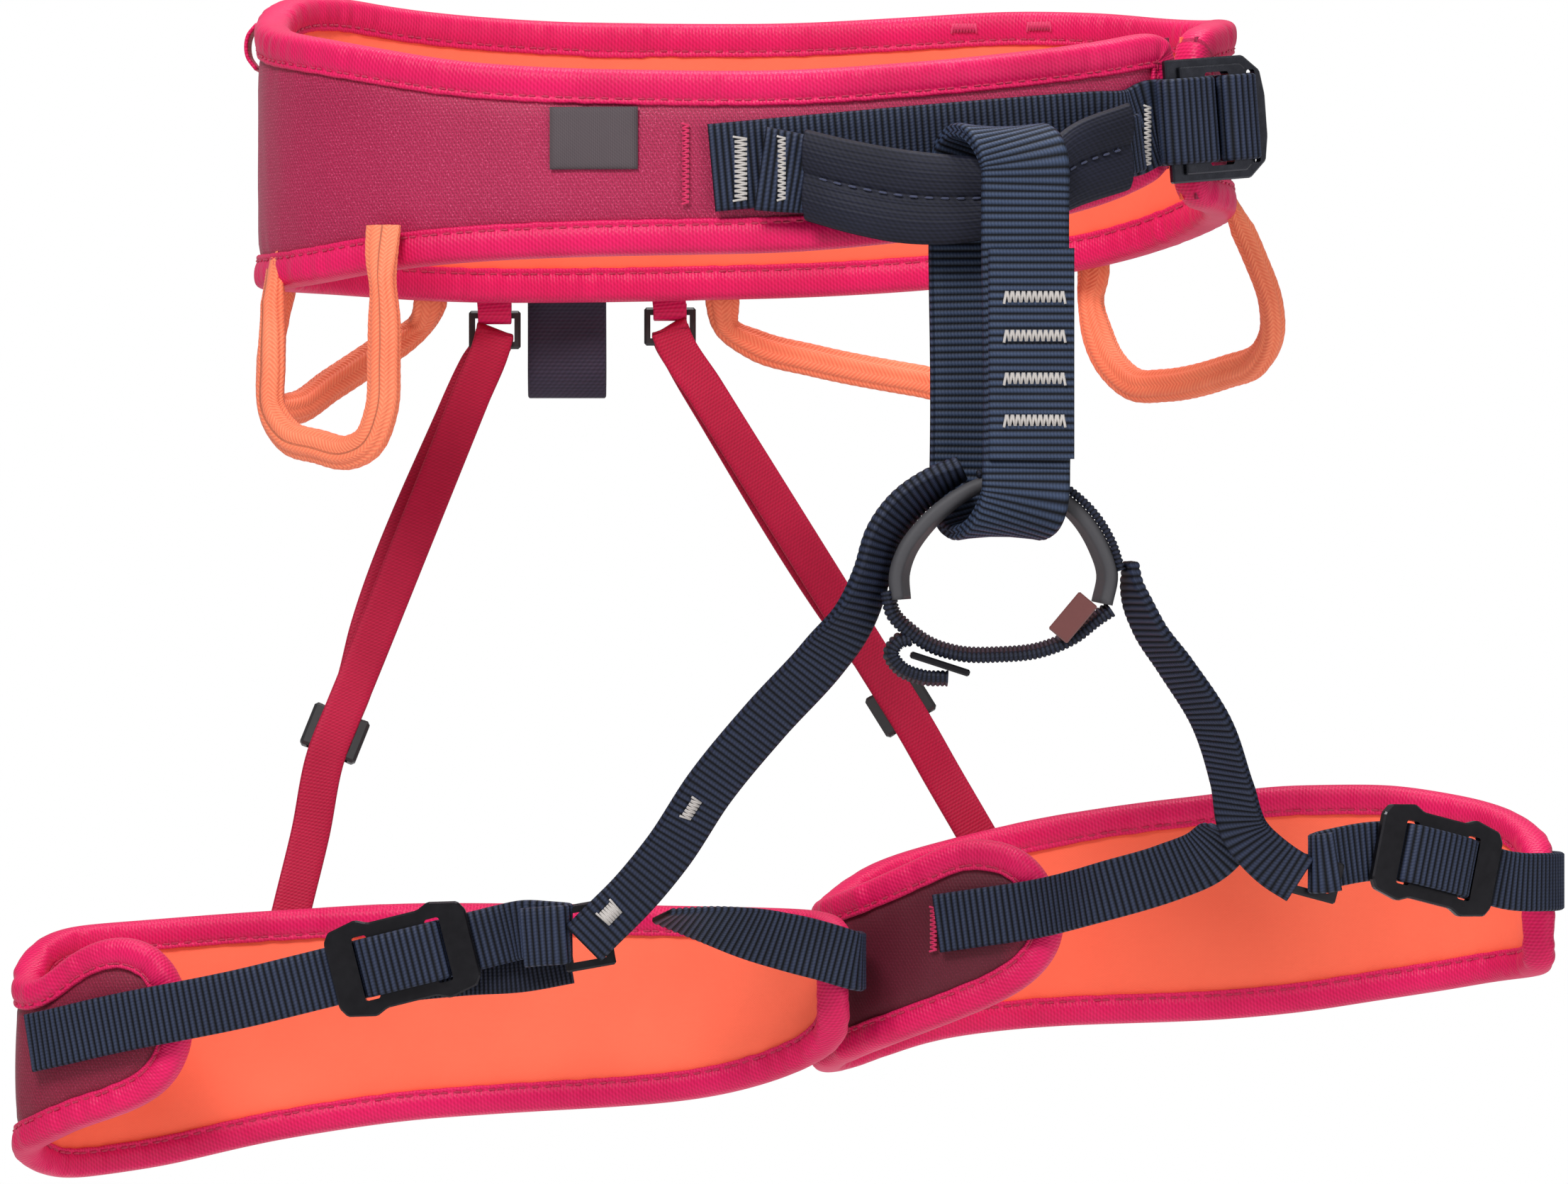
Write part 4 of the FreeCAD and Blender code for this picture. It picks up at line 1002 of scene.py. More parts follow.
WB = Plate(beside(BELT, 332.1, 9.4, 10.3), 30, 5)
LB = Plate(beside(LEG_L, 268.9, 3.9, -231.0), -3, 14)
RB = Plate(beside(LEG_R, 310.4, 11.0, -203.0), 30, -13)
WAIST_WIDE, WAIST_THICK, BELT_OUT, BEHIND_PLATE = 25, 2.2, 3.1, -2.7
rows = []
for t in np.linspace(267.8, 317, 8):
    rise = -4.4 + 0.092 * beside(BELT, t, BELT_OUT, 0)[0]
    rows.append((*beside(BELT, t, BELT_OUT, rise), *UP))
rows += [(*WB.at(u, BEHIND_PLATE), *WB.across) for u in (-20, -15, 0, 8, 15.2)]
strap("waist_web", rows, WAIST_WIDE, WAIST_THICK, NAVY, "waist", "webbing", ["waist_webbing"])
rows = [(*beside(BELT, t, BELT_OUT, 9.0), *UP) for t in (14, 2, -8, -15)]
p = WB.at(12.0, BEHIND_PLATE + WAIST_THICK + 0.8)
rows.append((p[0], p[1], 9.5, *UP))
strap("waist_web_far", rows, WAIST_WIDE, WAIST_THICK, NAVY, "waist", "webbing",
      ["waist_webbing_far"])

# %% [markdown]
# ### Webbing threaded through the waist buckle
#
# It comes up through the wide slot, folds over the outer bar and goes back down through the narrow
# one. The part that shows is two short humps. Both are cut from the same path as the CAD piece and
# keep its ends.

# %% Humps over the plates
LEFT_HUMP = [(-18.6, -0.2), (-18.4, 1.2), (-17.4, 3.0), (-15.2, 4.1), (-11.5, 4.6), (-7.0, 4.7),
             (-4.4, 4.4), (-2.8, 2.9), (-2.6, 1.1), (-2.6, -1.0)]
RIGHT_HUMP = [(1.2, -1.0), (1.2, 2.4), (2.4, 4.2), (4.6, 4.6), (8.0, 4.6), (10.6, 3.8), (12.0, 1.7),
              (12.0, -1.0)]


def joined(name, parts, paint):
    """Several closed tubes in one mesh: each is (points, uv)."""
    points, uvs, faces, base = [], [], [], 0
    for p, uv in parts:
        n_u, n_v = p.shape[:2]
        faces += (cells(n_u, n_v, False, True, True) + base).tolist()
        faces += [[base + k for k in range(n_v)][::-1],
                  [base + (n_u - 1) * n_v + k for k in range(n_v)]]
        points.append(p.reshape(-1, 3))
        uvs.append(uv.reshape(-1, 2))
        base += n_u * n_v
    obj = make(name, np.concatenate(points), faces, np.concatenate(uvs), paint)
    outward(obj)
    return obj


humps = [strap_points([(*WB.at(u, n), *WB.across) for u, n in hump], 24.6, thick)
         for hump, thick in ((LEFT_HUMP, 2.2), (RIGHT_HUMP, 2.0))]
belongs(joined("waist_humps", humps, NAVY), "waist_buckle", "webbing", "waist_buckle_web")

# %% [markdown]
# ## Tie-in sleeve
#
# A grosgrain tube slides over the tie-in webbing to save it from the rope. It sags off the belt
# and its two walls are sewn together along the middle, so its face is two shallow swellings with a
# stitched valley.

# %% Sleeve and the webbing in it
SLEEVE = [(17.5, -87.5, -7.5, 26.0), (30.0, -93.0, -11.0, 26.5), (46.0, -96.5, -14.0, 26.5),
          (60.0, -98.0, -14.8, 25.0), (76.0, -97.0, -13.6, 21.6),
          (84.0, -93.0, -11.0, 22.2), (92.0, -87.0, -5.6, 24.0),
          (109.0, -73.0, 1.2, 25.0)]
SLEEVE_COLUMNS, SLEEVE_RIBS = 59, 15


def sleeve():
    """Upright closed outlines along the sag line. Each face swells by a cosine on either side of
    the seam, and the ribs of the grosgrain run the length of the tube."""
    line, dist = rail(SLEEVE, 0.55)
    tan = unit(np.gradient(line[:, :2], axis=0))
    normal = np.column_stack([tan[:, 1], -tan[:, 0], np.zeros(len(tan))])
    v = np.linspace(-1, 1, SLEEVE_COLUMNS)
    face = np.sqrt(np.clip(1 - np.abs(v) ** 6, 0, 1))
    groove = 1 - 0.3 * np.exp(-((v - 0.02) / 0.10) ** 2) - 0.12 * np.cos(v * np.pi * 2)
    crumple = 0.25 * np.sin(dist / 6.1 + 0.7) + 0.18 * np.sin(dist / 2.9)
    thick = 2.7 * face * groove
    ribs = 0.24 * np.abs(np.sin(np.linspace(0, np.pi * SLEEVE_RIBS, SLEEVE_COLUMNS)))
    out = (thick + ribs * face)[None, :] + crumple[:, None] * face * 0.6 * (1 - v**2)
    up = np.array(UP) * (v[None, :] * (line[:, 3] / 2)[:, None])[..., None]
    front = line[:, None, :3] + normal[:, None] * out[..., None] + up
    back = line[:, None, :3] - normal[:, None] * (out * 0.9)[..., None] + up
    ring = np.concatenate([front, back[:, ::-1]], 1)
    uv = np.stack(np.broadcast_arrays(np.arange(ring.shape[1])[None, :] * 0.45, dist[:, None]), -1)
    obj = grid("sleeve", ring * MM, uv, GROSGRAIN, loop_v=True, caps=True)
    outward(obj)
    belongs(obj, "waist", "grosgrain", "tie_in_sleeve")
    pick = np.arange(12, len(line) - 8, 8)
    middle = line[pick, :3] + normal[pick] * 2.35 + np.array([0, 0, 0.2])
    along = unit(np.gradient(line[:, :3], axis=0))[pick]
    belongs(stitches("sleeve_seam", middle, along, normal[pick], 2.8, NAVY_THREAD, 0.34), "waist",
            "grosgrain")


sleeve()
rows = [(4.5, -86.4, -5.6)] + [r[:3] for r in SLEEVE] + [(113.0, -67.6, 2.8)]
widths = [24.0, 22.0, 17.0] + [16.5] * 7
strap("tie_in_web", np.column_stack([with_across(rows, UP), widths]), 16.5, 2.0, NAVY, "waist",
      "webbing", ["tie_in_webbing"])

# %% [markdown]
# ## Belay loop
#
# The strongest piece: two turns of 25 mm webbing, lapped in front and held by four bar tacks. Its
# side view is a stadium, sheared a little because it hangs askew, so the path is a stadium and the
# ribs follow it.


# %% The loop, its lap and its tacks
LOOP_X, LOOP_Y, LOOP_R, LOOP_TOP, LOOP_LOW, LOOP_HALF = 72.0, -97.0, 14.0, 5.8, -110.0, 2.3
LOOP_RIB = 2.05
X_WAY, FRONT = (1, 0, 0), (0, -1, 0)


def stadium(r, top, bottom):
    """Closed path in (y, z): half circles of radius r joined by straight sides, front side
    first."""
    a = np.linspace(0, np.pi, 15)
    top_arc = np.column_stack([LOOP_Y - r * np.cos(a), top - r + r * np.sin(a)])
    low_arc = np.column_stack([LOOP_Y + r * np.cos(a), bottom + r - r * np.sin(a)])
    straight = np.linspace(bottom + r, top - r, int((top - bottom) / 6))[1:-1]
    front = np.column_stack([np.full(len(straight), LOOP_Y - r), straight])
    back = np.column_stack([np.full(len(straight), LOOP_Y + r), straight[::-1]])
    return np.concatenate([front, top_arc, back, low_arc])


def belay_rows():
    """The stadium through the middle of the webbing, closed, sheared sideways with depth."""
    yz = stadium(LOOP_R - LOOP_HALF, LOOP_TOP - LOOP_HALF, LOOP_LOW + LOOP_HALF)
    yz = np.vstack([yz, yz[:1]])
    sway = 0.25 * np.sin(yz[:, 1] / 15.0)
    return with_across(np.column_stack([LOOP_X - 0.62 * (yz[:, 0] - LOOP_Y) + sway, yz]), X_WAY)


strap("belay_loop_web", belay_rows(), 24.9, 4.5, NAVY_LOOP, "belay", "webbing", ["belay_loop"],
      loop=True, layers=2, rib=LOOP_RIB, high=0.5)
front, lap_x = LOOP_Y - LOOP_R, LOOP_X + 8.7
lap = [(lap_x, front - 0.95, z) for z in (-29.0, -32.0, -45.0, -60.0, -75.0, -85.0)]
strap("belay_lap_web", with_across(lap + [(lap_x, front - 0.7, -88.2)], X_WAY), 24.2, 1.7, NAVY_LOOP,
      "belay", "webbing", ["belay_lap"], rib=LOOP_RIB, high=0.45)
lines = [zigzag((81.6, front - 2.05, z), X_WAY, UP, FRONT, 17.2, 4.0, 11)
         for z in (-42.7, -53.6, -65.6, -77.4)]
belongs(tacks("belay_tacks", lines, TAN_THREAD), "belay", "thread", "belay_bartacks")
print("belay loop done")

# %% [markdown]
# ## Lower ring, its liner and the crotch strap
#
# A moulded liner keeps the rope off the stitches of the lower tie-in point. Webbing runs round its
# outside, and a narrow strap with a bar buckle closes it below.

# %% Ring
RING = [(43.2, -127.8), (42.9, -120.5), (45.2, -113.8), (50.0, -107.2), (57.0, -100.8),
        (66.0, -95.6), (78.0, -94.0), (88.5, -98.6), (95.8, -105.0), (100.6, -112.5),
        (103.3, -120.5), (101.8, -129.0)]


RING_Y, RING_WIDE, FINE_RIB = -98.5, 10.0, 1.3


def planar(points, push=0.0, flare=0.0, even=False):
    """Rows in the ring's plane, pushed away from its middle. With a flare the front edge stands
    further out than the back one, so the inner face shows; unless even, both fade where the ring
    runs level."""
    p = np.asarray(points, float)
    tan = unit(np.gradient(p, axis=0))
    away = np.column_stack([-tan[:, 1], tan[:, 0]])
    share = 1.0 if even else np.abs(away[:, :1]) ** 1.5
    p = p + away * push * share
    side = -away * flare * share
    return with_across(np.column_stack([p[:, 0], np.full(len(p), RING_Y), p[:, 1]]),
                       np.column_stack([side[:, 0], np.ones(len(p)), side[:, 1]]))


def fine_web(name, rows, thick, node, wide=RING_WIDE):
    """A narrow strap of the leg loop assembly, in the finer webbing."""
    strap(name, rows, wide, thick, NAVY_FINE, "yoke", "webbing", [node], rib=FINE_RIB)


strap("ring_liner_body", planar(RING, -0.9, flare=0.34), RING_WIDE, 3.9, RUBBER, "yoke", "rubber",
      ["ring_liner"], rib=0, step=1.4)
fine_web("ring_web_body", planar(RING[5:-1], 3.3, even=True), 2.1, "ring_web")
LOWER = [(40.6, -125.2), (42.0, -131.6), (46.6, -136.4), (52.0, -140.2), (60.0, -142.8),
         (72.0, -143.2), (84.0, -141.8), (93.0, -138.0), (99.6, -132.9), (103.4, -130.4)]
fine_web("crotch_band", planar(LOWER, flare=-0.2, even=True), 2.9, "crotch_strap")
TAIL = [(47.0, -138.6), (43.6, -139.4), (41.4, -142.9), (43.8, -146.9), (50.0, -149.6),
        (57.5, -150.0)]
fine_web("crotch_end", planar(TAIL, flare=0.15, even=True), 3.3, "crotch_tail")

# %% [markdown]
# ## Straps to the leg loops
#
# Doubled webbing goes from the ring to each leg loop and turns over on the way, from edge-on at
# the ring to almost flat at the leg, so each row of its table has its own width direction.

# %% Connectors
CONNECTORS = {
    "left": (4.0, [(61.5, -98.5, -90.6, 0.15, 0.95, -0.26), (53.0, -98.5, -95.2, 0.29, 0.86, -0.4),
                   (44.9, -98.5, -101.8, 0.46, 0.78, -0.42),
                   (39.3, -98.5, -109.6, 0.53, 0.78, -0.31),
                   (36.2, -98.3, -120.0, 0.65, 0.74, -0.1), (31.8, -95.8, -131.0, 0.7, 0.62, -0.28),
                   (22.0, -88.0, -144.5, 0.62, 0.3, -0.7), (6.0, -79.5, -162.0, 0.72, 0.15, -0.62),
                   (-10.0, -70.0, -181.5, 0.78, 0.1, -0.55), (-22.5, -63.0, -200.5, 0.8, 0.1, -0.5),
                   (-32.0, -61.4, -212.0, 0.72, 0.0, -0.65), (-41.0, -61.0, -221.0, 0.68, 0.0, -0.7),
                   (-46.0, -59.6, -226.0, 0.66, 0.0, -0.72)]),
    "right": (3.0, [(109.0, -98.5, -117.0, 0.1, -1, 0.0), (109.4, -98.3, -123.0, 0.25, -0.95, 0.1),
                    (111.2, -97.4, -129.0, 0.42, -0.88, 0.12),
                    (114.2, -95.4, -135.5, 0.48, -0.86, 0.15),
                    (122.0, -89.0, -146.5, 0.55, -0.8, 0.2), (132.5, -80.0, -162.5, 0.5, -0.8, 0.35),
                    (139.0, -69.0, -180.5, 0.4, -0.75, 0.5), (143.5, -61.0, -195.0, 0.3, -0.5, 0.8),
                    (151.5, -59.5, -203.2, 0.2, -0.2, 0.95), (158.8, -58.9, -208.0, 0.1, 0.0, 1.0)]),
}
for side, (thick, rows) in CONNECTORS.items():
    strap(f"connector_{side}_web", rows, 14.5, thick, NAVY_STRAP, "yoke", "webbing",
          ["connector_" + side], rib=2.0, layers=2, high=0.5)

# %% [markdown]
# ## Leg webbing
#
# Each leg loop closes with 17 mm webbing. It leaves the pad's outside, runs straight behind the
# buckle, and ends at a small link; the hump over the buckle is the part of it that was folded
# back.

# %% Leg webbing and humps
# clearance, proud edge, binding's two layers, gap and half the webbing
OFF = 0.3 + 1.3 + 0.4 * 2 + 0.8 + 0.95
RIGHT_OFF, BEHIND_LEG_PLATE = 2.95, -2.65


def leg_web(name, rows, node, body="yoke"):
    """One 17 mm webbing of a leg loop."""
    strap(name, rows, 17, 1.9, NAVY, body, "webbing", [node])


def behind(plate, places):
    """Rows that run straight behind a leg buckle's plate, so that it can slide along them."""
    return [(*plate.at(u, BEHIND_LEG_PLATE), *plate.across) for u in places]


rows = [(*beside(LEG_L, t, OFF, z), *UP) for t, z in ((203, -256.5), (212, -254.5), (222, -251.5))]
rows += behind(LB, (-42, -37, -31, -24, 0, 24, 30))
rows += [(*p, *UP) for p in ((-62.5, -51.6, -222.4), (-57.0, -54.2, -222.6), (-50.4, -57.0, -223.2),
                             (-52.2, -60.2, -223.6), (-57.5, -59.6, -224.0), (-63.5, -57.4, -224.6))]
leg_web("leg_web_left", rows, "leg_webbing_buckle_left")
tail = [(-96.0, -40.8, -238.0), (-80.0, -41.5, -236.5), (-64.0, -42.0, -235.5),
        (-50.0, -42.5, -233.0)]
fine_web("leg_end_left", with_across(tail, UP), 1.9, "leg_tail_left", 10.5)
rows = [(-24.0, -50.0, -218.5, 0.15, -0.97, 0.2), (-8.0, -45.0, -221.5, 0.1, -0.75, 0.66),
        (8.0, -38.0, -225.5, 0, -0.35, 0.94), (21.5, -33.2, -229.0, *UP)]
rows += [(*beside(LEG_L, t, OFF + 0.8, -232.5), *UP) for t in (-6, 6, 18)]
leg_web("crotch_web_left", rows, "leg_webbing_crotch_left")
rows = [beside(LEG_R, t, RIGHT_OFF, 0) for t in (232, 240, 248)]
rows = [(x, y, -220.5 + (x - 64) * 0.155, *UP) for x, y, _ in rows]
rows += [(104.0, -42.5, -211.5, *UP), (122.0, -46.0, -206.0, 0, -0.2, 0.98),
         (132.0, -50.5, -201.5, 0.2, -0.4, 0.86), (139.5, -56.0, -194.0, 0.5, -0.5, 0.6)]
leg_web("crotch_web_right", rows, "leg_webbing_crotch_right")
rows = [(*p, *UP) for p in ((169.5, -60.4, -202.6), (165.5, -60.6, -203.2), (162.2, -57.6, -203.4),
                            (163.6, -54.2, -203.0), (168.2, -50.8, -202.0))]
rows += behind(RB, (-12, 0, 12, 19, 27))
rows += [(*beside(LEG_R, t, RIGHT_OFF, -210.0), *UP) for t in (-14, -2, 10, 22)]
leg_web("leg_web_right", rows, "leg_webbing_buckle_right")
HUMP = [(-11.6, -1.1), (-11.4, 1.0), (-9.6, 2.55), (-5.0, 3.25), (0.0, 3.45), (5.0, 3.25),
        (9.6, 2.55), (11.4, 1.0), (11.6, -1.1)]
for side, plate in (("left", LB), ("right", RB)):
    rows = [(*plate.at(u, n), *plate.across) for u, n in HUMP]
    leg_web("leg_hump_" + side, rows, "leg_buckle_web_" + side, "leg_buckle_" + side)

# %% [markdown]
# ## Elastic risers
#
# At the back two narrow elastics hold the leg loops up. Each hangs from a pink tab folded through
# a moulded ring, comes down as a front run, and doubles back behind itself to a slider.

# %% Tabs, runs and returns
RISERS = {"left": dict(y=78.0, ring=(-75.4, -46.4), low=(-134.1, -220.0), slide=(-121.8, -167.5),
                       leg=LEG_L, lean=-2.6),
          "right": dict(y=84.6, ring=(-23.0, -45.2), low=(67.8, -196.5), slide=(46.0, -159.0),
                        leg=LEG_R, lean=-1.6)}
BAR_R = 2.4


def riser(side):
    """The same straight lines as the CAD pieces: ring to slider, a little past it, then down to the
    pad. At the ring the run turns round the lower bar, so run and return meet there in a small half
    circle."""
    r = RISERS[side]
    (x, z), y = r["ring"], r["y"]
    p, n = oval(r["leg"], np.arange(20, 175, 0.5))
    k = int(np.argmin(np.abs(p[:, 0] - r["low"][0])))
    foot = p[k, 1] + n[k, 1] * 4.0
    top = np.array([x, y - BAR_R, z - 3.0])
    share = (top[2] - r["slide"][1]) / (top[2] - r["low"][1])
    mid = np.array([r["slide"][0], top[1] + (foot - top[1]) * share, r["slide"][1]])
    way = unit(mid - top)
    across = unit(np.array([-way[2], 0, way[0]]))
    end = np.array([r["low"][0], foot, r["low"][1]])
    down = unit(end - mid)
    run = [top + (0, 0, 1.2), top + way * 2, top + way * 20, (top + mid) / 2, mid - way * 20,
           mid - way * 6 + (0, -2.2, 0), mid + way * 6 + (0, -2.2, 0), (mid + end) / 2 + down * 4,
           end - down * 4, end + down * 12]
    low = mid - way * 14.0 + (0, 3.4, 0)
    lean = np.array([r["lean"], 1.0, 0])
    round_bar = [(x, y - BAR_R, z - 2.2), (x, y - 1.4, z - 1.1), (x, y, z - 0.8),
                 (x, y + 1.4, z - 1.1), (x, y + BAR_R, z - 2.6)]
    high = np.array(round_bar[-1])
    back = round_bar + [high + way * 10 + lean * 0.6, high + way * 30 + lean,
                        low - way * 20 + lean, low, low + way * 9 + (0, -1.9, 0)]
    for piece, node, line, wide, thick in (("riser_run_", "riser_strap_", run, 11.5, 1.4),
                                           ("riser_back_", "riser_return_", back, 11.3, 1.3)):
        obj = strap(piece + side, with_across(np.array(line), across), wide, thick, ELASTIC, rib=0,
                    step=0.9)
        x * MM
        y * MM
        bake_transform(obj)
        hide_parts(node + side)
    tab = [(x - 0.6, y - BAR_R, -34.0), (x - 0.3, y - BAR_R, -38.0), (x, y - BAR_R, z + 4.2),
           (x, y - 1.7, z + 2.1), (x, y, z + 1.4), (x, y + 1.7, z + 2.1), (x, y + BAR_R, z + 4.2),
           (x, y + BAR_R, -39.0)]
    strap("riser_tab_tape_" + side, with_across(tab, X_WAY), 10.0, 1.0, BINDING, "waist", "binding",
          ["riser_tab_" + side], rib=0, step=0.7)


for side in RISERS:
    riser(side)

# %% [markdown]
# ## Gear loops
#
# Each is a braided tube over a stiff core, round where it hangs and pressed flat where it goes
# under the binding. The braid shows as raised lengthwise cords, so its outline is a wavy oval
# carried along the path.

# %% Braided tubes
GEAR = {
    "front_left": ((228.2, -21.0, 4.2),
                   [(-102.8, -70.0, -44.0), (-102.8, -71.0, -60.0), (-103.6, -70.3, -74.0),
                    (-107.5, -67.0, -83.0), (-113.5, -62.0, -85.8), (-122.0, -55.5, -84.0),
                    (-131.0, -48.0, -81.0), (-135.8, -44.0, -74.0), (-136.2, -43.0, -60.0),
                    (-136.0, -37.0, -45.0)], (196, -30.0, -1.0)),
    "back_left": ((127, -32.0, 3.2),
                  [(-98.0, 76.5, -46.0), (-111.0, 72.5, -55.0), (-124.0, 63.5, -64.0),
                   (-134.0, 53.0, -71.0), (-140.0, 46.0, -71.0), (-141.0, 43.0, -59.0)],
                  (158, -31.5, 2.2)),
    "back_right": ((91.6, -31.0, 3.2),
                   [(-6.0, 88.5, -46.0), (3.0, 90.5, -51.5), (20.0, 91.5, -56.0),
                    (51.0, 90.0, -62.0), (70.0, 86.5, -65.0), (82.0, 82.0, -61.0),
                    (87.0, 78.5, -49.0)], (58, -27.0, 3.2)),
    "front_right": ((48, -22.0, 3.2),
                    [(102.8, 68.5, -38.0), (104.5, 66.0, -48.0), (108.5, 61.0, -57.5),
                     (115.5, 54.5, -64.0), (124.0, 47.0, -64.4), (142.0, 30.0, -60.6),
                     (150.5, 20.5, -57.2), (154.2, 14.0, -50.0), (153.8, 9.5, -41.5),
                     (148.5, 5.0, -27.0), (143.5, 4.0, -16.0)], (1, -6.0, -3.0)),
}
CORD_POINTS = 48


def gear_loop(name, start, run, end):
    """Path from end to end, each end an (angle, height, distance out) on the belt; the outline is
    an oval with eight cords, flattened and necked where it goes under the binding."""
    angle, z, out = start
    path = [beside(BELT, angle, out, z), beside(BELT, angle, out + 1, z - 8)]
    path = np.array(path + run + [beside(BELT, end[0], end[2], end[1])])
    p, n = oval(BELT, np.arange(-20, 330, 0.5))
    near = np.argmin(np.linalg.norm(p[None] - path[:, None, :2], axis=2), axis=1)
    outs = np.column_stack([n[near], np.zeros(len(path))])
    line, dist = rail(np.column_stack([path, outs]), 0.9)
    _, face, side = axes(line[:, :3], line[:, 3:6])
    from_end = np.minimum(dist, dist[-1] - dist)
    flat = np.clip(1 - from_end / 15.0, 0, 1) ** 0.8
    neck = np.exp(-((from_end - 18.0) / 7.0) ** 2)
    deep = 3.6 - 2.2 * flat
    wide = 4.9 + 0.6 * flat - 1.0 * neck
    a = np.linspace(0, TURN, CORD_POINTS, endpoint=False)
    cords = 1.03 - 0.13 * np.abs(np.cos(a * 4)) ** 6
    weave = 1 + 0.016 * np.sin(dist * TURN / 1.3)[:, None] * np.cos(a * 10)[None, :]
    points = (line[:, None, :3]
              + face[:, None] * (deep[:, None] * np.cos(a)[None] * cords * weave)[..., None]
              + side[:, None] * (wide[:, None] * np.sin(a)[None] * cords * weave)[..., None])
    uv = np.stack(np.broadcast_arrays(dist[:, None], (a * 4.6)[None, :]), -1)
    obj = grid("gear_" + name + "_braid", points * MM, uv, BRAID, loop_v=True, caps=True)
    outward(obj)
    belongs(obj, "gear_" + name, "braid", "gear_loop_" + name)


for name, ends_and_run in GEAR.items():
    gear_loop(name, *ends_and_run)

# %% [markdown]
# ## Haul loop, label and small trim
#
# The haul loop is one navy ribbon folded double. The label is a plain grey tab, left blank. The
# ribbon loop is a scrap of binding tape, and a column of pink thread closes the mesh beside the
# waist webbing.

# %% Trim
HAUL_X, HAUL_Y = -54.0, 86.2
path = [(HAUL_X, HAUL_Y + y, z)
        for y, z in ((-3.0, -30.0), (0, -38.0), (0.8, -52.0), (1.2, -62.0), (5.0, -66.6),
                     (8.8, -62.0), (8.4, -50.0), (5.6, -38.0), (3.6, -30.0))]
HAUL = ribbon_paint("haul_ribbon", srgb(62, 54, 74), srgb(24, 18, 32), 1.1, 1.6, 0.1, 0.7)
strap("haul_ribbon_loop", with_across(path, X_WAY), 23.5, 1.5, HAUL, "haul", "webbing",
      ["haul_loop"], rib=1.1, high=0.1)
ACROSS, TALL = 15, 21


def patch(name, angles, heights, out, thick, paint, slot, node):
    """A tab lying on the belt between two angles and two heights, edges rolled over."""
    (z0, z1), v = heights, np.linspace(-1, 1, TALL)
    p, n = oval(BELT, np.linspace(*angles, ACROSS))
    edge = np.sqrt(np.clip(1 - np.abs(v) ** 10, 0, 1))
    side = np.sqrt(np.clip(1 - np.abs(np.linspace(-1, 1, ACROSS)) ** 14, 0, 1))
    z = (z0 + z1) / 2 + v * (z1 - z0) / 2
    level = np.broadcast_to(z[None, :, None], (ACROSS, TALL, 1))
    top = out + thick * (0.25 + 0.75 * edge[None, :] * side[:, None])
    face = np.concatenate([p[:, None] + n[:, None] * top[..., None], level], -1)
    base = np.concatenate([np.broadcast_to((p + n * out)[:, None], (ACROSS, TALL, 2)), level], -1)
    ring = np.concatenate([face, base[:, ::-1]], 1)
    s = np.linspace(0, 1, ACROSS) * np.linalg.norm(p[-1] - p[0])
    uv = np.stack(np.broadcast_arrays(s[:, None], np.concatenate([z, z[::-1]])[None, :]), -1)
    obj = grid(name, ring * MM, uv, paint, loop_v=True, caps=True)
    outward(obj)
    belongs(obj, "waist", slot, node)


patch("label", (251.2, 261.0), (-5.5, 12.3), 0.9, 0.8, LABEL, "label", "label_tab")
x, y, _ = beside(BELT, 265.6, 1.0, 0)
lines = [zigzag((x, y, -4.0), UP, X_WAY, FRONT, 23.0, 2.4, 16)]
belongs(tacks("waist_tack", lines, PINK_THREAD, 0.36), "waist", "pink_thread", "waist_bartack")
rows = [(*beside(BELT, 171, out, z), 0.1, 1, 0)
        for out, z in ((2.4, 41.0), (5.2, 37.5), (5.4, 31.5), (2.6, 27.5))]
strap("ribbon_scrap", rows, 8.5, 1.1, BINDING, "waist", "binding", ["ribbon_loop"], rib=0, step=0.6)

# %% [markdown]
# ## Bar tacks of the waist webbing and of the straps
#
# Tan thread, laid tight: two columns at the left end of the waist webbing, one beside the buckle,
# and two short ones on the left strap. Pink thread: two short tacks inside the top edge of the
# belt's back, and a column at the end of the webbing on the right leg loop.

# %% Tacks on the webbing and the pads
ON_WEB = 4.35


def on_oval(o, angle, out, z):
    """A place beside an oval with the directions along it and away from it."""
    _, n = oval(o, [angle])
    return np.array(beside(o, angle, out, z)), np.array([-n[0, 1], n[0, 0], 0]), np.array([*n[0], 0])


lines = []
for x, z0, z1, wide, more in ((-0.8, -14.7, 3.5, 4.6, 0), (10.4, -14.7, 3.5, 2.8, 3.3),
                              (112.6, -3.6, 13.5, 2.8, 0)):
    t = float(WAIST.angle(WAIST.at_x(x, True)))
    place, along, away = on_oval(BELT, t, ON_WEB + more, (z0 + z1) / 2)
    lines.append(zigzag(place, UP, along, away, z1 - z0, wide, 13))
belongs(tacks("waist_web_tacks", lines, TAN_THREAD, 0.34), "waist", "thread")
lines = [zigzag((-15.2, -69.7, -187.4), (0.5, -0.36, 0.78), (0.75, 0.25, -0.37), (0.06, -0.8, -0.4),
                7.0, 4.4, 6),
         zigzag((-38.5, -63.4, -217.4), (0.7, 0.0, 0.72), (0.7, 0.0, -0.7), FRONT, 5.5, 6.0, 6)]
belongs(tacks("strap_tacks", lines, TAN_THREAD, 0.36), "yoke", "thread")

lines = []
for x in (67.0, 90.5):
    at = WAIST.at_x(x, False)
    place, along, away = on_oval(BELT, float(WAIST.angle(at)), -9.4, float(WAIST.top(at)) - 3.6)
    lines.append(zigzag(place, along, UP, -away, 7.5, 3.4, 8))
belongs(tacks("belt_tacks", lines, PINK_THREAD, 0.3), "waist", "pink_thread")
place, along, away = on_oval(LEG_R, 231.0, 1.2, -223.5)
lines = [zigzag(place, UP, along, away, 13.0, 2.6, 10)]
belongs(tacks("leg_tacks", lines, PINK_THREAD, 0.32), "yoke", "pink_thread")

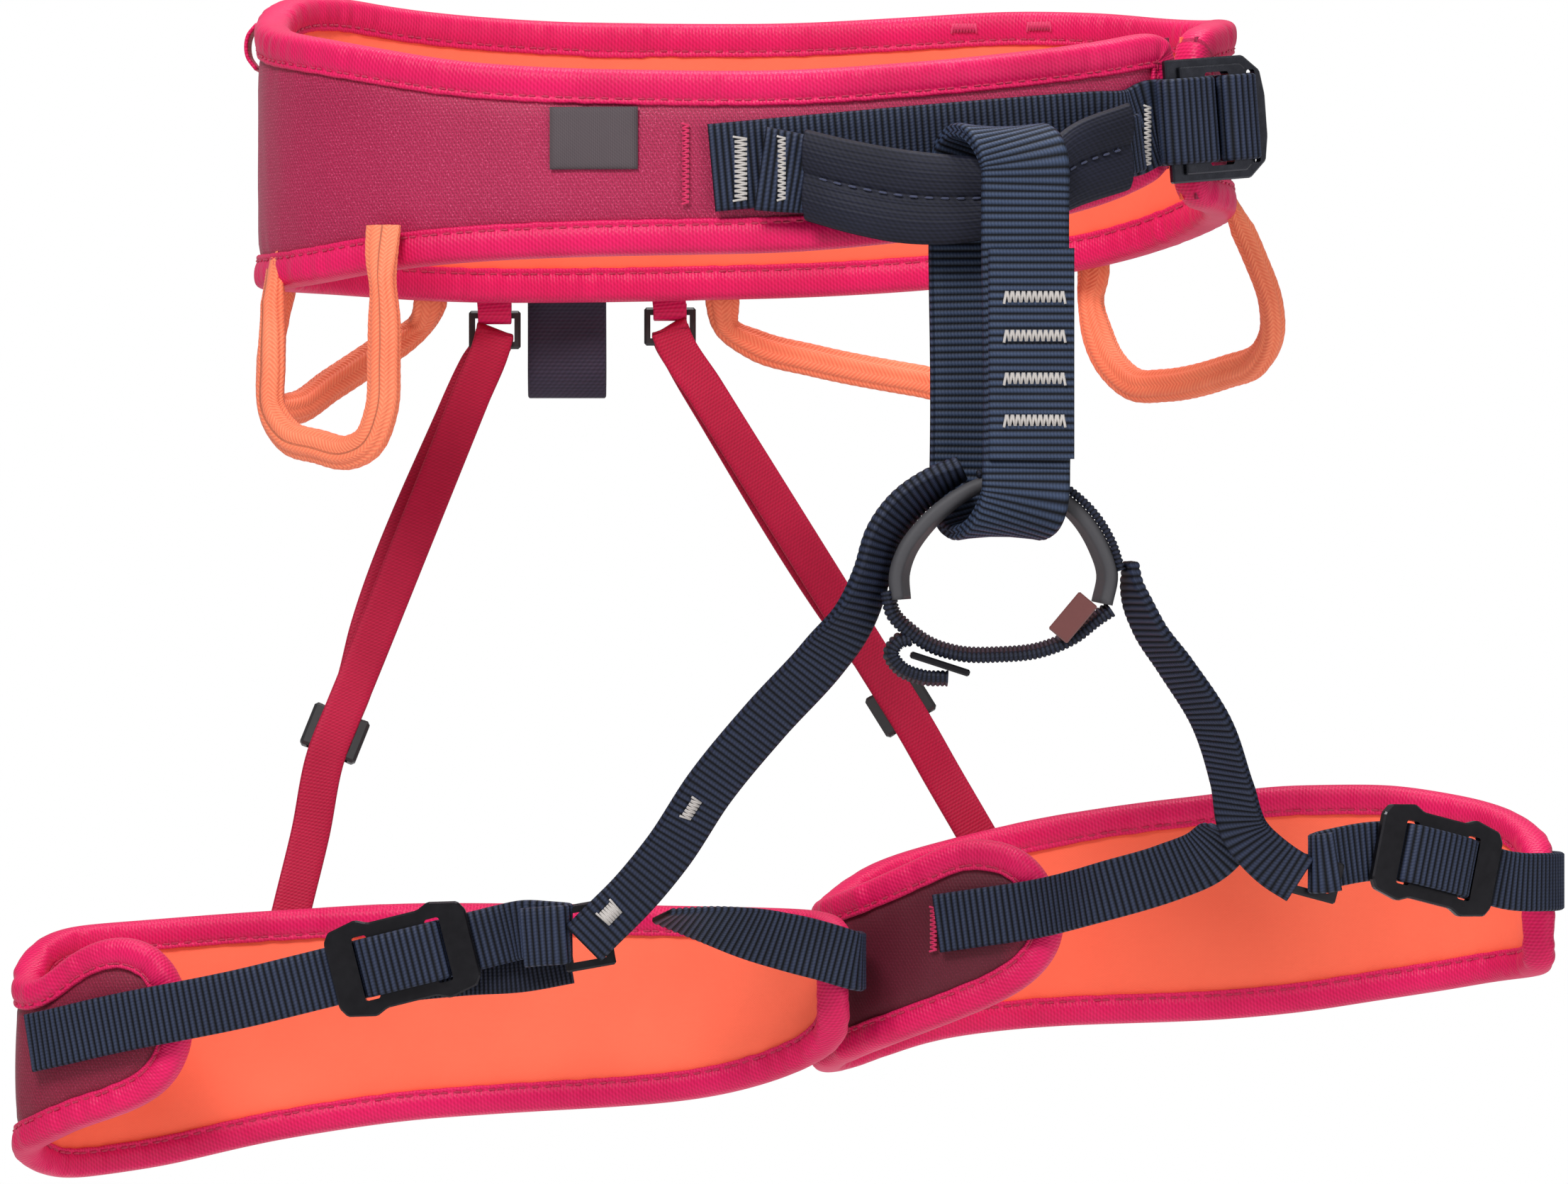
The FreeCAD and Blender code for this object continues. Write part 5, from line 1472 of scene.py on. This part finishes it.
# %% [markdown]
# ## Metal and moulded pieces
#
# Plates, links, bars and sliders are already right in the CAD model, chamfers and all. They keep
# their geometry and only get a finish.

# %% Finish the hard pieces
HARD = {
    "waist_buckle_frame": GUNMETAL, "waist_buckle_plate": GUNMETAL,
    "leg_buckle_frame_left": BLACK_METAL, "leg_buckle_frame_right": BLACK_METAL,
    "crotch_link_left": BLACK_METAL, "crotch_link_right": BLACK_METAL, "crotch_slider": BLACK_METAL,
    "riser_ring_left": PLASTIC, "riser_ring_right": PLASTIC, "riser_slider_left": PLASTIC,
    "riser_slider_right": PLASTIC, "ring_flap": FILM,
}
for node, paint in HARD.items():
    materials = bpy.data.objects[node].data.materials
    materials.clear()
    materials.append(paint)
print("hard pieces finished:", len(HARD))

# %% [markdown]
# ## Studio
#
# The harness floats at eye height against white, so the floor sits well below it and only catches
# a soft shadow. A key light from the upper left, a weak fill from the right and a top light keep
# the navy webbing readable. The world is dim, and looks white only to the camera and through clear
# things.

# %% Floor, world, lights and camera
FLOOR_GREY = (0.82, 0.82, 0.82, 1)
WHITE = (1, 1, 1, 1)
DIM = 0.36
MIDDLE = (0, 0, -0.1)

cover = Nodes(bpy.data.materials.new("studio_floor"))
dull = cover.node("ShaderNodeBsdfPrincipled", {}, {"Base Color": FLOOR_GREY, "Roughness": 0.9})
cover.node("ShaderNodeOutputMaterial", {}, {0: dull})
bpy.ops.mesh.primitive_plane_add(size=3.0, location=(0.0, 0.2, -0.56))
floor = bpy.context.object
floor.name = "studio_floor"
floor.data.materials.append(bpy.data.materials["studio_floor"])

world = bpy.data.worlds.new("studio")
bpy.context.scene.world = world
air = Nodes(world)
seen, through = (air.node("ShaderNodeLightPath", {}, {}, ray)
                 for ray in ("Is Camera Ray", "Is Transmission Ray"))
either = air.node("ShaderNodeMath", {"operation": "MAXIMUM"}, {0: seen, 1: through})
dim, bright = (air.node("ShaderNodeBackground", {}, {0: WHITE, 1: power}) for power in (DIM, 1.0))
both = air.node("ShaderNodeMixShader", {}, {0: either, 1: dim, 2: bright})
air.node("ShaderNodeOutputWorld", {}, {0: both})


def lamp(name, place, size, power):
    """A square area light turned so that it looks at the middle of the harness."""
    data = bpy.data.lights.new(name, "AREA")
    data.size, data.energy = size, power
    obj = bpy.data.objects.new(name, data)
    bpy.context.scene.collection.objects.link(obj)
    obj.location = place
    obj.rotation_euler = (Vector(MIDDLE) - Vector(place)).to_track_quat("-Z", "Y").to_euler()


lamp("key", (-0.6, -1.5, 1.3), 0.7, 36)
lamp("fill", (1.3, -1.6, 0.1), 1.0, 10)
lamp("top", (0.1, 0.3, 1.5), 0.8, 18)

EYE = (0.0112, -3.0, -0.1256)
eye = bpy.data.cameras.new("front")
eye.lens, eye.sensor_width = 236.0, 36.0
eye.clip_start, eye.clip_end = 0.05, 20.0
camera = bpy.data.objects.new("front", eye)
bpy.context.scene.collection.objects.link(camera)
camera.location = EYE
camera.rotation_euler = (math.radians(90), 0, 0)
bpy.context.scene.camera = camera
bpy.context.scene.view_settings.view_transform = "Standard"
print("studio set")
